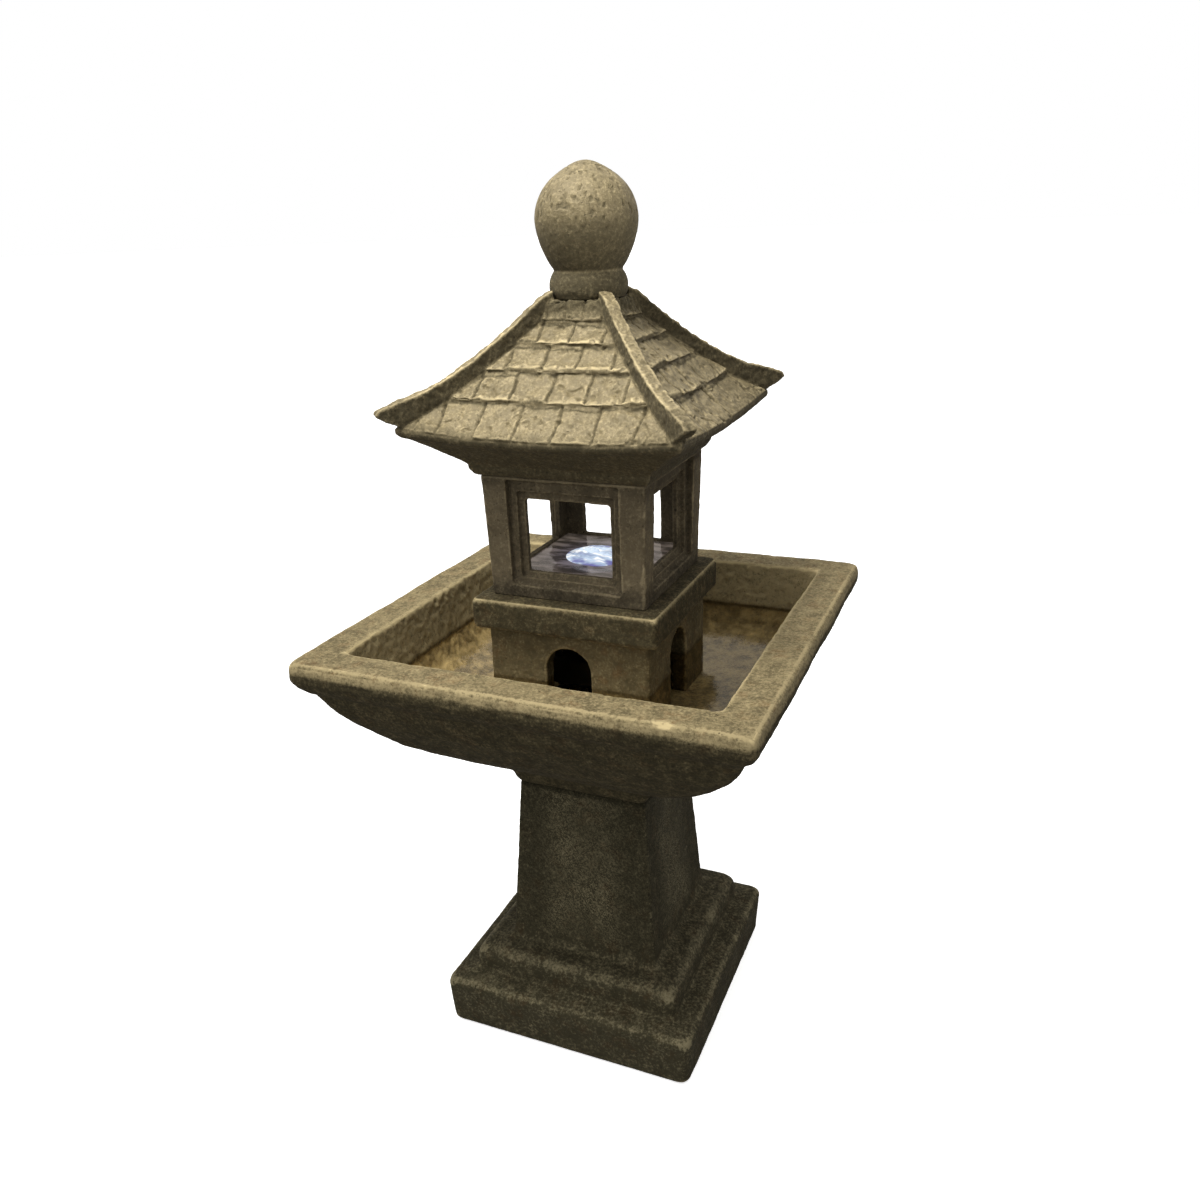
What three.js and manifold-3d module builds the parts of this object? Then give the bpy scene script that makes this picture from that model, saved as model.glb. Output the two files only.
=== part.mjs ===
// Pagoda lantern fountain in cast stone: a square pedestal, a square basin, an arched pump cover with a
// four-post light chamber on it, a tiled roof with upswept corners and a ball finial. A small pump under
// the cover lifts the basin's water to a spout inside a ring of lights.
// Millimetres, +Z up, origin under the centre of the pedestal, front face towards -Y.
import * as THREE from 'three';
import { mergeVertices } from 'three/addons/utils/BufferGeometryUtils.js';
import Module from 'manifold-3d';

const wasm = await Module();
wasm.setup();

// ---- driving dimensions -------------------------------------------------------------------------
const GAP = 0.3; // between pieces that rest on or fill each other

// square castings: every "half" is half of a side, every "top" or "floor" is a height
const PLINTH_HALF = 178;
const PLINTH_TOP = 74.7;
const STEP_HALF = 146.5;
const STEP_TOP = 114;
const COLUMN_FOOT_HALF = 105;
const COLUMN_HEAD_HALF = 88.7;
const PEDESTAL_TOP = 354;
const SOCKET_HALF = 64; // square socket in the pedestal's head, which the basin's spigot drops into
const SPIGOT_DEPTH = 18;

const RIM_HALF = 280;
const RIM_TOP = 580.5;
const RIM_WIDTH = 46;
const LIP_HALF = 285.4;
const BASIN_FLOOR = 462;
const BASIN_FLOOR_HALF = 165;

const COVER_HALF = 106.9;
const COVER_CAVITY_HALF = 86;
const SLAB_HALF = 121;
const SLAB_BOTTOM = 583.7;
const SLAB_TOP = 624;
const ARCH_HALF = 30;
const ARCH_TOP = 564.5;

const CHAMBER_FOOT_HALF = 100.8;
const CHAMBER_HEAD_HALF = 104.9;
const CHAMBER_TOP = 775;
const CHAMBER_CAVITY_HALF = 80;
const POOL_FLOOR = 632;
const WINDOW = { half: 55, bottom: 654, top: 745 };
const WINDOW_STEP = { half: 62, bottom: 648, top: 756, plane: 88 };
const WINDOW_RECESS = { half: 72, bottom: 640, top: 771, plane: 94.5 };

const EAVE_HALF = 167;
const EAVE_TOP = 837;
const CORNER_LIFT = 9; // how far the eave's corners sweep up and out
const CORNER_FLARE = 5;
const RIDGE_WIDTH = 15;
const ROOF_CAVITY_HALF = 66;
const FINIAL_SEAT = 970;
const FINIAL_COLLAR_RADIUS = 46.6;
const BALL_RADIUS = 60;
const BALL_HEIGHT = 1054.6;
const TOTAL_HEIGHT = 1119;
const DOWEL_RADIUS = 5;

// water, light and pump, which stands on the basin floor with its shaft along X
const GROMMET_HOLE_RADIUS = 16;
const SLAB_HOLE_RADIUS = 20.5;
const LEAD_X = -28; // the light's lead goes straight down here
const LEAD_RADIUS = 1.9;
const OVERFLOW = { x: 52, y: 52, radius: 7, level: 641 };
const BUNG = { x: 0, y: 37, holeRadius: 11.8 };
const SHAFT_HEIGHT = 491;
const PUMP = { back: -64, front: -8, halfWidth: 21, bottom: 472, top: 510 };
const WELL_RADIUS = 9.5;
const WELL_END = -47;
const VOLUTE = { back: -7.7, front: 8, radius: 19, chamberRadius: 13.5 };
const OUTLET_RADIUS = 6.5;
const OUTLET_TOP = 528;
const HOSE = { bore: 6.9, radius: 9.2, bottom: 513, top: 607 };
const SPOUT_TOP = 645;
const JET_RADIUS = 1.9;
const CUP_PLACES = [[-54, -14], [-54, 14], [-18, -14], [-18, 14]];

// ---- shape helpers ------------------------------------------------------------------------------
// A closed geometry as a solid whose faces point out.
function solid(geometry) {
  const bare = geometry.clone();
  bare.deleteAttribute('normal');
  bare.deleteAttribute('uv');
  const merged = mergeVertices(bare, 1e-4);
  const vertProperties = new Float32Array(merged.attributes.position.array);
  const triVerts = new Uint32Array(merged.index.array.filter(keepsArea(merged)));
  if (signedVolume(vertProperties, triVerts) < 0) triVerts.reverse();
  return new wasm.Manifold(new wasm.Mesh({ numProp: 3, vertProperties, triVerts }));
}

// A filter that drops the triangles whose corners were merged into one.
function keepsArea(merged) {
  const index = merged.index.array;
  return (_, i) => {
    const [a, b, c] = index.slice(i - (i % 3), i - (i % 3) + 3);
    return a !== b && b !== c && c !== a;
  };
}

function signedVolume(positions, triangles) {
  const corner = (i) => new THREE.Vector3().fromArray(positions, triangles[i] * 3);
  let volume = 0;
  for (let i = 0; i < triangles.length; i += 3) {
    volume += corner(i).dot(corner(i + 1).cross(corner(i + 2))) / 6;
  }
  return volume;
}

function geometryOf(body) {
  const { numProp, vertProperties, triVerts } = body.getMesh();
  const geometry = new THREE.BufferGeometry();
  const positions = new Float32Array((vertProperties.length / numProp) * 3);
  for (let i = 0; i < positions.length; i++) {
    positions[i] = vertProperties[Math.floor(i / 3) * numProp + (i % 3)];
  }
  geometry.setAttribute('position', new THREE.BufferAttribute(positions, 3));
  geometry.setIndex(new THREE.BufferAttribute(new Uint32Array(triVerts), 1));
  geometry.computeVertexNormals();
  return geometry;
}

function joined(...bodies) {
  return bodies.reduce((whole, body) => whole.add(body));
}

function cut(body, ...tools) {
  return tools.reduce((whole, tool) => whole.subtract(tool), body);
}

function block([x0, x1], [y0, y1], [z0, z1]) {
  const box = new THREE.BoxGeometry(x1 - x0, y1 - y0, z1 - z0);
  return solid(box.translate((x0 + x1) / 2, (y0 + y1) / 2, (z0 + z1) / 2));
}

// Points [radius, height] turned about the upright axis.
function turned(points, segments = 24) {
  const profile = points.map(([r, z]) => new THREE.Vector2(r, z));
  return new THREE.LatheGeometry(profile, segments).rotateX(Math.PI / 2);
}

function closedLoop(points) {
  return [...points, points[0]];
}

function upright(radius, [z0, z1], [x, y] = [0, 0], segments = 24) {
  return solid(turned([[0, z0], [radius, z0], [radius, z1], [0, z1]], segments).translate(x, y, 0));
}

// The same, with the points given as [radius, x] and turned about the pump's shaft.
function turnedOnShaft(points, segments = 24) {
  return solid(turned(points, segments).rotateY(Math.PI / 2).translate(0, 0, SHAFT_HEIGHT));
}

function rodOnShaft(radius, [x0, x1], segments = 24) {
  return turnedOnShaft([[0, x0], [radius, x0], [radius, x1], [0, x1]], segments);
}

// Points along an arc in a profile, angles in degrees from the outward direction.
function arc([a, z], radius, from, to, steps = 3) {
  return Array.from({ length: steps + 1 }, (_, i) => {
    const angle = THREE.MathUtils.degToRad(from + ((to - from) * i) / steps);
    return [a + radius * Math.cos(angle), z + radius * Math.sin(angle)];
  });
}

// Points [half, height] carried round a square with rounded corners: the lathe's circle of each point
// is remapped to the square's outline. The corners' radius is given for each height and half width.
function squareTurned(points, cornerRadius, cornerSteps = 3) {
  const perSide = cornerSteps + 1;
  const segments = 4 * perSide;
  return remapped(turned(points, segments), segments, (half, segment, z) => {
    const radius = Math.min(cornerRadius(z, half), half);
    const side = Math.floor(segment / perSide);
    const turn = ((segment % perSide) / cornerSteps) * (Math.PI / 2);
    const corner = new THREE.Vector2(half - radius, half - radius);
    corner.add(new THREE.Vector2(Math.cos(turn) * radius, Math.sin(turn) * radius));
    return corner.rotateAround(new THREE.Vector2(), (side * Math.PI) / 2).toArray();
  });
}

// Moves each vertex of a turned geometry to the place that `outline` gives for its radius and segment.
function remapped(geometry, segments, outline) {
  const position = geometry.attributes.position;
  for (let i = 0; i < position.count; i++) {
    const [x, y, z] = [position.getX(i), position.getY(i), position.getZ(i)];
    const radius = Math.hypot(x, y);
    const rows = position.count / (segments + 1);
    const segment = Math.floor(i / rows) % segments;
    const [newX, newY, rise = 0] = radius > 1e-6 ? outline(radius, segment, z) : [0, 0];
    position.setXYZ(i, newX, newY, z + rise);
  }
  return geometry;
}

function aroundSides(body) {
  return [0, 90, 180, 270].map((degrees) => body.rotate([0, 0, degrees]));
}

// ---- castings -----------------------------------------------------------------------------------
function pedestal() {
  const inside = [
    [SOCKET_HALF, PEDESTAL_TOP],
    [SOCKET_HALF, PEDESTAL_TOP - SPIGOT_DEPTH - 6],
    [COLUMN_FOOT_HALF - 21, STEP_TOP - 8],
    [STEP_HALF - 26, STEP_TOP - 22],
    [STEP_HALF - 24, PLINTH_TOP - 16],
    [PLINTH_HALF - 28, PLINTH_TOP - 24],
    [PLINTH_HALF - 26, 0],
  ];
  const outside = [
    [PLINTH_HALF - 8, 0],
    [PLINTH_HALF - 3.5, 5],
    ...arc([PLINTH_HALF - 12, PLINTH_TOP - 12], 12, 0, 90),
    [STEP_HALF, PLINTH_TOP + 3],
    ...arc([STEP_HALF - 20, STEP_TOP - 20], 20, 0, 75),
    ...arc([COLUMN_FOOT_HALF + 13, STEP_TOP + 13], 13, -90, -180),
    [COLUMN_HEAD_HALF, PEDESTAL_TOP],
  ];
  const cornerRadius = (z) => (z < STEP_TOP ? 12 : 6);
  const shell = solid(squareTurned(closedLoop([...inside, ...outside]), cornerRadius));
  const cordNotch = joined(
    block([-12, 12], [PLINTH_HALF - 40, PLINTH_HALF + 4], [-1, 8]),
    solid(new THREE.CylinderGeometry(12, 12, 44, 16).translate(0, PLINTH_HALF - 18, 8)),
  );
  return cut(shell, cordNotch);
}

function basin() {
  const underside = [
    [0, BASIN_FLOOR - 26],
    [50, BASIN_FLOOR - 26],
    [52, PEDESTAL_TOP - SPIGOT_DEPTH],
    [SOCKET_HALF - 2.5, PEDESTAL_TOP - SPIGOT_DEPTH],
    [SOCKET_HALF - 0.7, PEDESTAL_TOP + GAP],
    [COLUMN_HEAD_HALF + 0.5, PEDESTAL_TOP + GAP],
  ];
  const foot = [[94.1, 363], [95.7, 370], [99.4, 375.6], [106.9, 381.3]];
  const bowl = [[160, 414.8], [197, 441.3], [217, 457.9], [245, 493.5], [256, 512.3]];
  const lip = [
    [265.1, 534],
    [279.6, 547.3],
    [LIP_HALF - 0.6, 557],
    [LIP_HALF, 567],
    [RIM_HALF + 3, 577],
    [RIM_HALF - 2, RIM_TOP],
  ];
  const inside = [
    [RIM_HALF - RIM_WIDTH + 3, RIM_TOP],
    [RIM_HALF - RIM_WIDTH, RIM_TOP - 3],
    [227.5, 509],
    [218, 490],
    [200, 472],
    [182, 463.5],
    [BASIN_FLOOR_HALF, BASIN_FLOOR],
    [0, BASIN_FLOOR],
  ];
  const bowlRadius = (z) => THREE.MathUtils.lerp(12, 44, THREE.MathUtils.smoothstep(534 - z, 0, 90));
  const cornerRadius = (z, half) => (z < 383 || half < SOCKET_HALF ? 8 : bowlRadius(z));
  const outline = [...underside, ...foot, ...bowl, ...lip, ...inside];
  const bowlBody = solid(squareTurned(outline, cornerRadius));
  return cut(bowlBody, upright(BUNG.holeRadius, [400, 500], [BUNG.x, BUNG.y]));
}

function pumpCover() {
  const profile = [
    [COVER_CAVITY_HALF, BASIN_FLOOR + GAP],
    [COVER_HALF, BASIN_FLOOR + GAP],
    [COVER_HALF, SLAB_BOTTOM - 4],
    [COVER_HALF + 4, SLAB_BOTTOM],
    ...arc([SLAB_HALF - 5, SLAB_BOTTOM + 5], 5, -90, 0, 2),
    ...arc([SLAB_HALF - 7, SLAB_TOP - 7], 7, 0, 90, 2),
    [0, SLAB_TOP],
    [0, SLAB_TOP - 24],
    [COVER_CAVITY_HALF - 3, SLAB_TOP - 24],
  ];
  const cover = solid(squareTurned(closedLoop(profile), () => 5, 2));
  return cut(
    cover,
    archTunnel(),
    archTunnel().rotate([0, 0, 90]),
    upright(SLAB_HOLE_RADIUS, [590, 630]),
    upright(4.5, [590, 630], [LEAD_X, 0], 12),
    upright(OVERFLOW.radius + 1, [590, 630], [OVERFLOW.x, OVERFLOW.y], 16),
  );
}

// The space of two facing arches, through the whole cover along Y.
function archTunnel() {
  const outline = new THREE.Shape();
  outline.moveTo(-ARCH_HALF, BASIN_FLOOR - 1);
  outline.lineTo(ARCH_HALF, BASIN_FLOOR - 1);
  outline.absarc(0, ARCH_TOP - ARCH_HALF, ARCH_HALF, 0, Math.PI);
  const options = { depth: 2 * COVER_HALF + 4, bevelEnabled: false, curveSegments: 10 };
  const tunnel = new THREE.ExtrudeGeometry(outline, options).rotateX(Math.PI / 2);
  return solid(tunnel.translate(0, COVER_HALF + 2, 0));
}

function lightChamber() {
  const profile = [
    [0, SLAB_TOP + GAP],
    [CHAMBER_FOOT_HALF, SLAB_TOP + GAP],
    [CHAMBER_HEAD_HALF, CHAMBER_TOP],
    [CHAMBER_CAVITY_HALF, CHAMBER_TOP],
    [CHAMBER_CAVITY_HALF, POOL_FLOOR],
    [0, POOL_FLOOR],
  ];
  const walls = solid(squareTurned(profile, () => 4, 2));
  const windows = [WINDOW_RECESS, WINDOW_STEP, { ...WINDOW, plane: 70 }].flatMap((opening) =>
    aroundSides(windowCutter(opening)),
  );
  return cut(
    walls,
    ...windows,
    upright(GROMMET_HOLE_RADIUS, [620, 640]),
    upright(3.7, [620, 640], [LEAD_X, 0], 12),
    upright(OVERFLOW.radius + 0.3, [620, 640], [OVERFLOW.x, OVERFLOW.y], 16),
  );
}

// A block outside the given plane of the front wall, as wide and high as the opening.
function windowCutter({ half, bottom, top, plane }) {
  return block([-half, half], [-CHAMBER_HEAD_HALF - 4, -plane], [bottom, top]);
}

// Roof profile at the middle of a side, from the cavity down under the eave and up to the peak.
function roofProfile() {
  const cavity = [
    [0, 898],
    [ROOF_CAVITY_HALF - 8, 896],
    [ROOF_CAVITY_HALF, 888],
    [ROOF_CAVITY_HALF, CHAMBER_TOP - 8],
  ];
  const seat = [
    [CHAMBER_CAVITY_HALF - 2, CHAMBER_TOP - 8],
    [CHAMBER_CAVITY_HALF - 2, CHAMBER_TOP + GAP],
    [CHAMBER_HEAD_HALF + 0.5, CHAMBER_TOP + GAP],
  ];
  const cornice = [[109.5, 777], [114, 783], [115, 789], [119, 792.5]];
  const eave = [[142, 808], [158, 818.5], ...arc([EAVE_HALF - 8, EAVE_TOP - 9], 8.5, -60, 60, 4)];
  return [...cavity, ...seat, ...cornice, ...eave, ...tileRows(), [0, FINIAL_SEAT]];
}

// The rows of tiles: each row's lower edge stands proud of the row below it.
function tileRows() {
  const edges = [[130, 868], [100, 899], [72, 926], [50, 949]];
  const lap = 3.5;
  const rows = edges.flatMap(([half, z]) => [[half + 0.5, z - lap], [half, z]]);
  return [...rows, [43, FINIAL_SEAT]];
}

// How far a point of the roof moves up and out, from nothing mid-side to the full sweep at a corner.
function cornerSweep(half, along) {
  const reach = THREE.MathUtils.smoothstep(half, 100, EAVE_HALF);
  const lift = CORNER_LIFT * reach * Math.abs(along) ** 2.5;
  const flare = CORNER_FLARE * reach ** 2 * Math.abs(along) ** 3;
  return { lift, flare };
}

function roof() {
  const perSide = 4;
  const segments = 4 * perSide;
  const shell = remapped(turned(roofProfile(), segments), segments, (half, segment) => {
    const side = Math.floor(segment / perSide);
    const along = -1 + (2 * (segment % perSide)) / perSide;
    const { lift, flare } = cornerSweep(half, along);
    const point = new THREE.Vector2((half + flare) * along, -half - flare);
    point.rotateAround(new THREE.Vector2(), (side * Math.PI) / 2);
    return [point.x, point.y, lift];
  });
  return cut(
    joined(solid(shell), ...aroundSides(ridge())),
    upright(FINIAL_COLLAR_RADIUS + GAP, [FINIAL_SEAT, FINIAL_SEAT + 60]),
    upright(DOWEL_RADIUS + GAP, [FINIAL_SEAT - 30, FINIAL_SEAT + 1], [0, 0], 16),
  );
}

// One hip ridge: an upright fin along the corner line, from under the finial to its upswept tip past
// the eave. The outline is drawn in the corner's upright plane as [half, height].
function ridge() {
  const top = [[33, 980], [43, 974], [68, 945], [105, 909], [125, 893], [145, 880], [167, 871], [185, 862]];
  const underTip = [[187, 857], [181, 851], [170, 844], [158, 832], [146, 822]];
  const buried = [[125, 835], [105, 870], [68, 915], [33, 950]];
  const [[startHalf, startHeight], ...rest] = [...top, ...underTip, ...buried];
  const outline = new THREE.Shape().moveTo(startHalf * Math.SQRT2, startHeight);
  for (const [half, z] of rest) outline.lineTo(half * Math.SQRT2, z);
  const fin = new THREE.ExtrudeGeometry(outline, { depth: RIDGE_WIDTH, bevelEnabled: false });
  fin.translate(0, 0, -RIDGE_WIDTH / 2).rotateX(Math.PI / 2).rotateZ(Math.PI / 4);
  return solid(fin);
}

function finial() {
  const collar = [
    [FINIAL_COLLAR_RADIUS - 4.5, FINIAL_SEAT + GAP],
    [FINIAL_COLLAR_RADIUS - 1.4, 975],
    [FINIAL_COLLAR_RADIUS, 982],
    [FINIAL_COLLAR_RADIUS - 0.6, 989],
    [FINIAL_COLLAR_RADIUS - 3, 995.5],
    [39.6, 1001],
  ];
  const ball = [
    [45.4, 1009],
    [50.4, 1019],
    [54.9, 1030],
    [58.2, 1042],
    ...arc([0, BALL_HEIGHT], BALL_RADIUS, 0, 56, 6),
    [22.5, TOTAL_HEIGHT - 7.6],
    [11.5, TOTAL_HEIGHT - 2.2],
    [4.5, TOTAL_HEIGHT - 0.4],
    [0, TOTAL_HEIGHT],
  ];
  const body = solid(turned([[0, FINIAL_SEAT + GAP], ...collar, ...ball], 36));
  return cut(body, upright(DOWEL_RADIUS + GAP, [FINIAL_SEAT - 5, 997], [0, 0], 16));
}

function finialDowel() {
  return upright(DOWEL_RADIUS, [FINIAL_SEAT - 28, 996], [0, 0], 16);
}

// ---- water and light ----------------------------------------------------------------------------
function basinBung() {
  const { x, y, holeRadius } = BUNG;
  const profile = [
    [LEAD_RADIUS, BASIN_FLOOR - 30],
    [holeRadius - 1.6, BASIN_FLOOR - 30],
    [holeRadius - GAP, BASIN_FLOOR],
    [holeRadius - GAP, BASIN_FLOOR + GAP],
    [holeRadius + 2.2, BASIN_FLOOR + GAP],
    [holeRadius + 1.6, BASIN_FLOOR + 4],
    [LEAD_RADIUS, BASIN_FLOOR + 4],
  ];
  const plug = solid(turned(closedLoop(profile), 20).translate(x, y, 0));
  const slitWidth = [x - 0.4, x + 0.4];
  const slit = block(slitWidth, [y + 2, y + holeRadius + 4], [BASIN_FLOOR - 31, BASIN_FLOOR + 5]);
  return cut(plug, slit);
}

function spoutGrommet() {
  const profile = [
    [8.3, SLAB_TOP - 3.5],
    [19, SLAB_TOP - 3.5],
    [19, SLAB_TOP],
    [GROMMET_HOLE_RADIUS - GAP, SLAB_TOP],
    [GROMMET_HOLE_RADIUS - GAP, POOL_FLOOR + GAP],
    [19, POOL_FLOOR + GAP],
    [18.4, POOL_FLOOR + 2.5],
    [8.3, POOL_FLOOR + 2.5],
  ];
  return solid(turned(closedLoop(profile)));
}

function riserHose() {
  const { bore, radius, bottom, top } = HOSE;
  return solid(turned(closedLoop([[bore, bottom], [radius, bottom], [radius, top], [bore, top]])));
}

function spoutNozzle() {
  const profile = [
    [4.4, HOSE.top - 19],
    [6.2, HOSE.top - 19],
    [OUTLET_RADIUS, HOSE.top - 15],
    [OUTLET_RADIUS, HOSE.top + 1],
    [8, HOSE.top + 3],
    [8, SPOUT_TOP - 2],
    [7.2, SPOUT_TOP],
    [JET_RADIUS, SPOUT_TOP],
    [JET_RADIUS, SPOUT_TOP - 3],
    [4.4, SPOUT_TOP - 8],
  ];
  return solid(turned(closedLoop(profile)));
}

// A standing pipe that sets the pool's level, with a guard of small holes over its top.
function overflowTube() {
  const { x, y, radius, level } = OVERFLOW;
  const profile = [
    [radius - 1.5, SLAB_TOP - 30],
    [radius, SLAB_TOP - 30],
    [radius, POOL_FLOOR + GAP],
    [radius + 3.5, POOL_FLOOR + GAP],
    [radius + 3.5, POOL_FLOOR + 2],
    [radius, POOL_FLOOR + 2],
    [radius, level],
    [radius - 1.2, level + 1.2],
    [0, level + 1.2],
    [0, level - 0.6],
    [radius - 1.5, level - 0.6],
  ];
  const guardHole = upright(1, [level - 2, level + 3], [3.4, 0], 8);
  const guardHoles = Array.from({ length: 6 }, (_, i) => guardHole.rotate([0, 0, i * 60]));
  return cut(solid(turned(closedLoop(profile), 20)), ...guardHoles).translate([x, y, 0]);
}

const RING = { inner: 20.5, outer: 36, bottom: POOL_FLOOR + 0.4, top: POOL_FLOOR + 8.4, wall: 1.6 };

function ledHousing() {
  const { inner, outer, bottom, top, wall } = RING;
  const tub = [
    [inner, bottom],
    [outer, bottom],
    [outer, top],
    [outer - wall, top],
    [outer - wall, bottom + 2],
    [inner + wall, bottom + 2],
    [inner + wall, top],
    [inner, top],
  ];
  const stem = upright(3.3, [SLAB_TOP - 26, bottom + 1], [LEAD_X, 0], 12);
  const leadHole = upright(2.3, [SLAB_TOP - 27, bottom + 3], [LEAD_X, 0], 12);
  return cut(joined(solid(turned(closedLoop(tub), 28)), stem), leadHole);
}

function ledBoard() {
  const { inner, outer, bottom, wall } = RING;
  const [z0, z1] = [bottom + 2 + GAP, bottom + 3.6];
  const [r0, r1] = [inner + wall + GAP, outer - wall - GAP];
  const plate = solid(turned(closedLoop([[r0, z0], [r1, z0], [r1, z1], [r0, z1]]), 28));
  const chip = block([26.2, 29.8], [-1.8, 1.8], [z1 - 0.2, z1 + 1.3]);
  const chips = Array.from({ length: 12 }, (_, i) => chip.rotate([0, 0, 15 + i * 30]));
  return cut(joined(plate, ...chips), upright(2.4, [z0 - 1, z1 + 1], [LEAD_X, 0], 12));
}

function ledLens() {
  const { inner, outer, top, wall } = RING;
  const [r0, r1] = [inner + wall + GAP, outer - wall - GAP];
  const crown = [[r1, top], [r1 - 1.2, top + 0.6], [r0 + 1.2, top + 0.6], [r0, top]];
  return solid(turned(closedLoop([[r0, top - 2.2], [r1, top - 2.2], ...crown]), 28));
}

function ledLead() {
  return upright(LEAD_RADIUS, [PUMP.top + 14 + GAP, RING.bottom + 1.5], [LEAD_X, 0], 8);
}

function ledPlug() {
  const base = PUMP.top;
  const profile = [
    [0, base - 0.2],
    [4.6, base - 0.2],
    [4.6, base + 6.5],
    [6.2, base + 7],
    [5.4, base + 11],
    [2.6, base + 14],
    [0, base + 14],
  ];
  return solid(turned(profile, 16).translate(LEAD_X, 0, 0));
}

// ---- pump ---------------------------------------------------------------------------------------
function pumpBody() {
  const { back, front, halfWidth, bottom, top } = PUMP;
  const shell = roundedBlock([back, front], halfWidth, [bottom, top], 5);
  const cavity = cut(
    block([back - 1, front - 3], [-halfWidth + 3, halfWidth - 3], [bottom + 4.5, top - 3]),
    rodOnShaft(WELL_RADIUS + 1.7, [WELL_END - 1.7, front + 1]),
  );
  const socket = upright(7, [top - 1, top + 6], [LEAD_X, 0], 20);
  const cordInlet = upright(5, [top - 1, top + 8], [back + 9, 0], 16);
  const sealGroove = turnedOnShaft(
    closedLoop([[15.2, front - 1.7], [17.8, front - 1.7], [17.8, front + 1], [15.2, front + 1]]),
  );
  return cut(
    joined(shell, socket, cordInlet),
    cavity,
    rodOnShaft(WELL_RADIUS, [WELL_END, front + 1]),
    sealGroove,
    upright(5, [top - 0.5, top + 7], [LEAD_X, 0], 16),
    upright(2.6, [top + 1, top + 9], [back + 9, 0], 12),
    ...CUP_PLACES.map((place) => upright(2.9, [bottom - 1, bottom + 3.4], place, 12)),
  );
}

// A block with rounded long edges, lying along X.
function roundedBlock([x0, x1], halfWidth, [z0, z1], radius) {
  const middle = (z0 + z1) / 2;
  const halfHeight = (z1 - z0) / 2;
  const outline = new THREE.Shape();
  outline.absarc(halfWidth - radius, halfHeight - radius, radius, 0, Math.PI / 2);
  outline.absarc(-halfWidth + radius, halfHeight - radius, radius, Math.PI / 2, Math.PI);
  outline.absarc(-halfWidth + radius, -halfHeight + radius, radius, Math.PI, Math.PI * 1.5);
  outline.absarc(halfWidth - radius, -halfHeight + radius, radius, Math.PI * 1.5, Math.PI * 2);
  const options = { depth: x1 - x0, bevelEnabled: false, curveSegments: 3 };
  const bar = new THREE.ExtrudeGeometry(outline, options).rotateX(Math.PI / 2).rotateZ(Math.PI / 2);
  return solid(bar.translate(x0, 0, middle));
}

function motorCore() {
  const height = [483, 499];
  const yoke = block([-58, -52], [-17.6, 17.6], height);
  const poles = [-1, 1].map((side) => {
    const inner = side * (WELL_RADIUS + 2.2);
    const outer = side * 17.6;
    return block([-52.5, -14], [Math.min(inner, outer), Math.max(inner, outer)], height);
  });
  return joined(yoke, ...poles);
}

function motorCoil() {
  const winding = block([-61.6, -49.1], [-9.5, 9.5], [478.5, 503.5]);
  return cut(winding, block([-58.3, -51.7], [-10, 10], [482.7, 499.3]));
}

function pottingResin() {
  const { back, halfWidth, bottom, top } = PUMP;
  return block([back, back + 2], [-halfWidth + 3.3, halfWidth - 3.3], [bottom + 4.8, top - 3.3]);
}

const INLET_RING = { radius: 8.5, hole: 2.8 };

// Four round holes beside the shaft, from x0 to x1.
function inletHoles([x0, x1], radius) {
  return [45, 135, 225, 315].map((degrees) => {
    const angle = THREE.MathUtils.degToRad(degrees);
    const offset = [0, INLET_RING.radius * Math.cos(angle), INLET_RING.radius * Math.sin(angle)];
    return rodOnShaft(radius, [x0, x1], 12).translate(offset);
  });
}

function pumpVolute() {
  const { back, front, radius, chamberRadius } = VOLUTE;
  const drum = rodOnShaft(radius, [back, front]);
  const boss = rodOnShaft(4.4, [front - 1, front + 3.6], 20);
  const outlet = upright(OUTLET_RADIUS, [SHAFT_HEIGHT + 12, OUTLET_TOP]);
  const outletBore = upright(4.5, [SHAFT_HEIGHT + 5, OUTLET_TOP + 1]);
  return cut(
    joined(drum, boss, outlet),
    rodOnShaft(chamberRadius, [back - 1, 4]),
    outletBore,
    rodOnShaft(2.8, [3, front + 4], 16),
    ...inletHoles([3, front + 1], INLET_RING.hole),
  );
}

function voluteSeal() {
  const centre = [16.5, PUMP.front - 0.75];
  return turnedOnShaft(closedLoop(arc(centre, 0.9, 0, 300, 5)), 20);
}

function rotorMagnet() {
  return turnedOnShaft(closedLoop([[3.3, -43.5], [8.7, -43.5], [8.7, -11], [3.3, -11]]), 20);
}

function impeller() {
  const sleeve = [[1.27, -43.5], [3, -43.5], [3, -10.7]];
  const disc = [[5, -10.7], [5, -7], [12, -7], [12, -5.4]];
  const nose = [[4, -5.4], [4, 1], [1.27, 1]];
  const hub = turnedOnShaft(closedLoop([...sleeve, ...disc, ...nose]), 20);
  const blade = block([-5.6, 1], [3.2, 12], [SHAFT_HEIGHT - 0.7, SHAFT_HEIGHT + 0.7]);
  const blades = Array.from({ length: 4 }, (_, i) =>
    blade.translate([0, 0, -SHAFT_HEIGHT]).rotate([i * 90, 0, 0]).translate([0, 0, SHAFT_HEIGHT]),
  );
  return joined(hub, ...blades);
}

function rotorShaft() {
  return rodOnShaft(1.2, [-46.6, 9], 16);
}

function rearBush() {
  return turnedOnShaft(closedLoop([[1.4, -46.7], [5, -46.7], [5, -44], [1.4, -44]]), 16);
}

function frontBush() {
  return turnedOnShaft(closedLoop([[1.4, 4.3], [2.6, 4.3], [2.6, 10.5], [1.4, 10.5]]), 16);
}

const DIAL = { back: VOLUTE.front + GAP, front: VOLUTE.front + 3.1, radius: 19.4 };

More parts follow.
